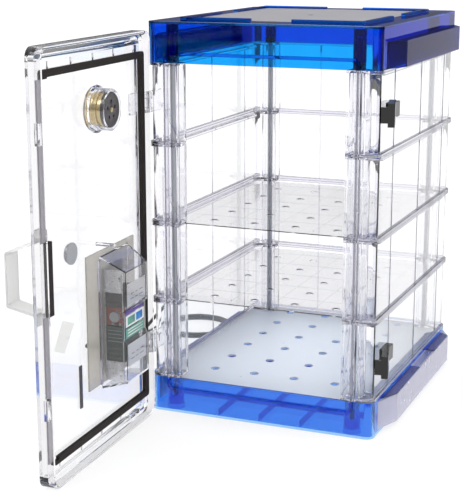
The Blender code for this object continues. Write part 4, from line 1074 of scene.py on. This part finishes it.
def make_chassis():
    """The steel plate behind the cover's near wall, open over the working parts."""
    sheet = painted(door_box((0.1365, 0.1380), (-0.0190, 0.0069), (0.0925, 0.2405)), [STEEL])
    inner, outer = RIM_Y + 0.0180, RIM_Y - 0.0062
    window = filleted([(inner, 0.1185), (outer, 0.1185), (outer, 0.2105), (inner, 0.2105)], 0.0015)
    steps = [minus(plate([window], door_x(0.130), door_x(0.142), "YZ"), [STEEL])]
    for depth, z in ((-0.0145, 0.230), (-0.0145, 0.100)):
        hole = bar(0.0016, (door_x(0.130), RIM_Y - depth, z), (door_x(0.142), RIM_Y - depth, z), 16)
        steps.append(minus(hole, [STEEL]))
    fused(sheet, steps)
    piece(sheet, "dryer_plate", "door", ["dryer_chassis"], bevel=0.0002, door=True)


def make_dryer_detail():
    parts = []
    for i in range(3):
        z = 0.1940 + 0.0065 * i
        parts.append(painted(door_box((0.1364, 0.1370), (-0.0170, 0.0050), (z, z + 0.0030)), [DARK]))
    for i, d in enumerate((-0.0130, -0.0095, -0.0030)):
        lug = door_box((0.1334, 0.1362), (d - 0.0012, d + 0.0012), (0.1672, 0.1700))
        parts.append(painted(lug, [INK if i % 2 else GREY]))
    for d, z in ((-0.0140, 0.1760), (-0.0140, 0.1830), (-0.0085, 0.1850)):
        parts.append(painted(door_box((0.1334, 0.1360), (d - 0.0015, d + 0.0015), (z, z + 0.0030)), [CREAM]))
    for i in range(4):
        z = 0.1450 + 0.0048 * i
        parts.append(painted(door_box((0.1364, 0.1368), (-0.0160, 0.0040), (z, z + 0.0006)), [GREY]))
    for i in range(3):
        z = 0.1215 + 0.0065 * i
        parts.append(painted(door_box((0.1364, 0.1370), (-0.0170, 0.0050), (z, z + 0.0026)), [DARK]))
    piece(joined(parts), "dryer_fittings", "door", bevel=0, door=True)


def make_gland():
    out = TRAY_DEEP + PANEL + GAP
    profile = [(out + 0.0005, 0.0), (out + 0.0005, 0.0062), (0.0195, 0.0062), (0.0195, 0.0075)]
    profile += [(0.0205, 0.0075), (0.0225, 0.0070), (0.0225, 0.0055)]
    for i in range(5):
        start = 0.0235 + 0.0021 * i
        radius = 0.0053 - 0.00032 * i
        profile += [(start, radius), (start + 0.0003, radius - 0.0008), (start + 0.0009, radius - 0.0009)]
        profile += [(start + 0.0012, radius - 0.0002)]
    profile += [(0.0345, 0.0036), (0.0350, 0.0034), (0.0350, 0.0)]
    gland = painted(door_lathe(GLAND, profile, 32), [BLACK])
    piece(gland, "strain_relief", "door", ["cord_gland"], bevel=0, door=True)


def make_blank_sticker():
    patch = [(0.2155, 0.1900), (0.2450, 0.2010), (0.2688, 0.1697), (0.2440, 0.1590)]
    face = TRAY_DEEP + PANEL
    sticker = slab([[(door_x(u), z) for u, z in patch]], face + 0.00005, face + 0.00022)
    piece(painted(sticker, [CREAM]), "blank_sticker", "door", bevel=0, door=True)


make_door()
make_gasket()
make_handle()
make_hygrometer()
make_cover()
make_dryer_prints()
make_chassis()
make_dryer_detail()
make_gland()
make_blank_sticker()


# ---------------------------------------------------------------- kept CAD pieces


FINISHES = (
    ("hinge_bracket", CLEAR), ("hinge_leaf", CLEAR), ("hinge_pin", STEEL), ("latch_base", BLACK),
    ("latch_clip", BLACK), ("latch_pin", STEEL), ("rod_nut", BLACK),
    ("dryer_screw", STEEL), ("dryer_heater", DARK), ("dryer_circuit_board", RED),
    ("dryer_thermostat", GREY), ("desiccant_cartridge", GREEN), ("dryer_back_plate", WARM),
    ("dryer_peg", CLEAR), ("dryer_outer_vent", BLACK), ("port_plug", GREY), ("indicator_strip", DARK),
)


def finish_nodes():
    for name, node in NODES.items():
        if node.hide_render:
            continue
        look = next((found for start, found in FINISHES if name.startswith(start)), None)
        if look is None:
            print("no finish for", name)
            continue
        node.data.materials.clear()
        node.data.materials.append(look)
        weld = node.modifiers.new("Weld", "WELD")
        weld.merge_threshold = 0.00001
        soft = node.modifiers.new("Bevel", "BEVEL")
        soft.width = 0.0004
        soft.segments = 2
        soft.limit_method = "ANGLE"
        soft.angle_limit = math.radians(35)


finish_nodes()


# ---------------------------------------------------------------- studio


def make_floor():
    floor = bpy.data.materials.new("studio_floor")
    floor.use_nodes = True
    tree = floor.node_tree
    shader = tree.nodes["Principled BSDF"]
    shader.inputs["Roughness"].default_value = 0.9
    shader.inputs["Specular IOR Level"].default_value = 0.0
    shader.inputs["Base Color"].default_value = (0.32, 0.32, 0.32, 1)
    shader.inputs["Emission Color"].default_value = (1.0, 1.0, 1.0, 1)
    shader.inputs["Emission Strength"].default_value = 0.76
    shape = bmesh.new()
    bmesh.ops.create_grid(shape, x_segments=1, y_segments=1, size=25.0)
    mesh = bpy.data.meshes.new("floor")
    shape.to_mesh(mesh)
    shape.free()
    ground = painted(linked(mesh, "floor"), [floor])


def area_light(name, place, target, size, power):
    data = bpy.data.lights.new(name, "AREA")
    data.shape = "RECTANGLE"
    data.size, data.size_y = size
    data.energy = power
    lamp = linked(data, name)
    way = (Vector(target) - Vector(place)).to_track_quat("-Z", "Y")
    lamp.matrix_world = Matrix.Translation(place) @ way.to_matrix().to_4x4()
    return lamp


def under_shelf_light():
    """A fill over the floor plate, hidden from view, where light doesn't reach through clear walls."""
    lamp = area_light("plate_fill", (0, -0.005, 0.1520), (0, -0.005, 0.05), (0.24, 0.33), 0.40)
    lamp.visible_camera = False
    lamp.visible_glossy = False
    lamp.visible_transmission = False


def sun_light(name, place, strength, spread):
    data = bpy.data.lights.new(name, "SUN")
    data.energy = strength
    data.angle = math.radians(spread)
    lamp = linked(data, name)
    lamp.matrix_world = Vector(place).to_track_quat("Z", "Y").to_matrix().to_4x4()


def make_world():
    """A bright ceiling over a dimmer room and a dark skirting, so that clear edges pick up grey."""
    world = bpy.data.worlds.new("studio")
    bpy.context.scene.world = world
    world.use_nodes = True
    tree = world.node_tree
    shade = tree.nodes["Background"]
    place = tree.nodes.new("ShaderNodeTexCoord")
    split = tree.nodes.new("ShaderNodeSeparateXYZ")
    tree.links.new(place.outputs["Generated"], split.inputs["Vector"])
    height = tree.nodes.new("ShaderNodeValToRGB")
    for spot, tone in ((0.10, 0.14), (0.14, 0.62), (0.30, 0.62), (0.72, 1.25)):
        stop = height.color_ramp.elements.new(spot)
        stop.color = (tone, tone, tone, 1)
    height.color_ramp.elements.remove(height.color_ramp.elements[0])
    height.color_ramp.elements.remove(height.color_ramp.elements[-1])
    tree.links.new(split.outputs["Z"], height.inputs["Fac"])
    tree.links.new(height.outputs["Color"], shade.inputs["Strength"])
    shade.inputs["Color"].default_value = (1.0, 1.0, 1.0, 1)


def settle():
    scene = bpy.context.scene
    scene.view_settings.view_transform = "Standard"
    scene.view_settings.look = "None"
    scene.cycles.max_bounces = 32
    scene.cycles.transmission_bounces = 32
    scene.cycles.glossy_bounces = 8
    scene.cycles.transparent_max_bounces = 32


make_floor()
make_world()
settle()
sun_light("key", (-1.6, -2.2, 2.8), 0.55, 24)
area_light("fill", (2.4, -1.6, 1.2), (0, 0, 0.25), (0.8, 1.8), 5)
under_shelf_light()

bpy.context.view_layer.update()
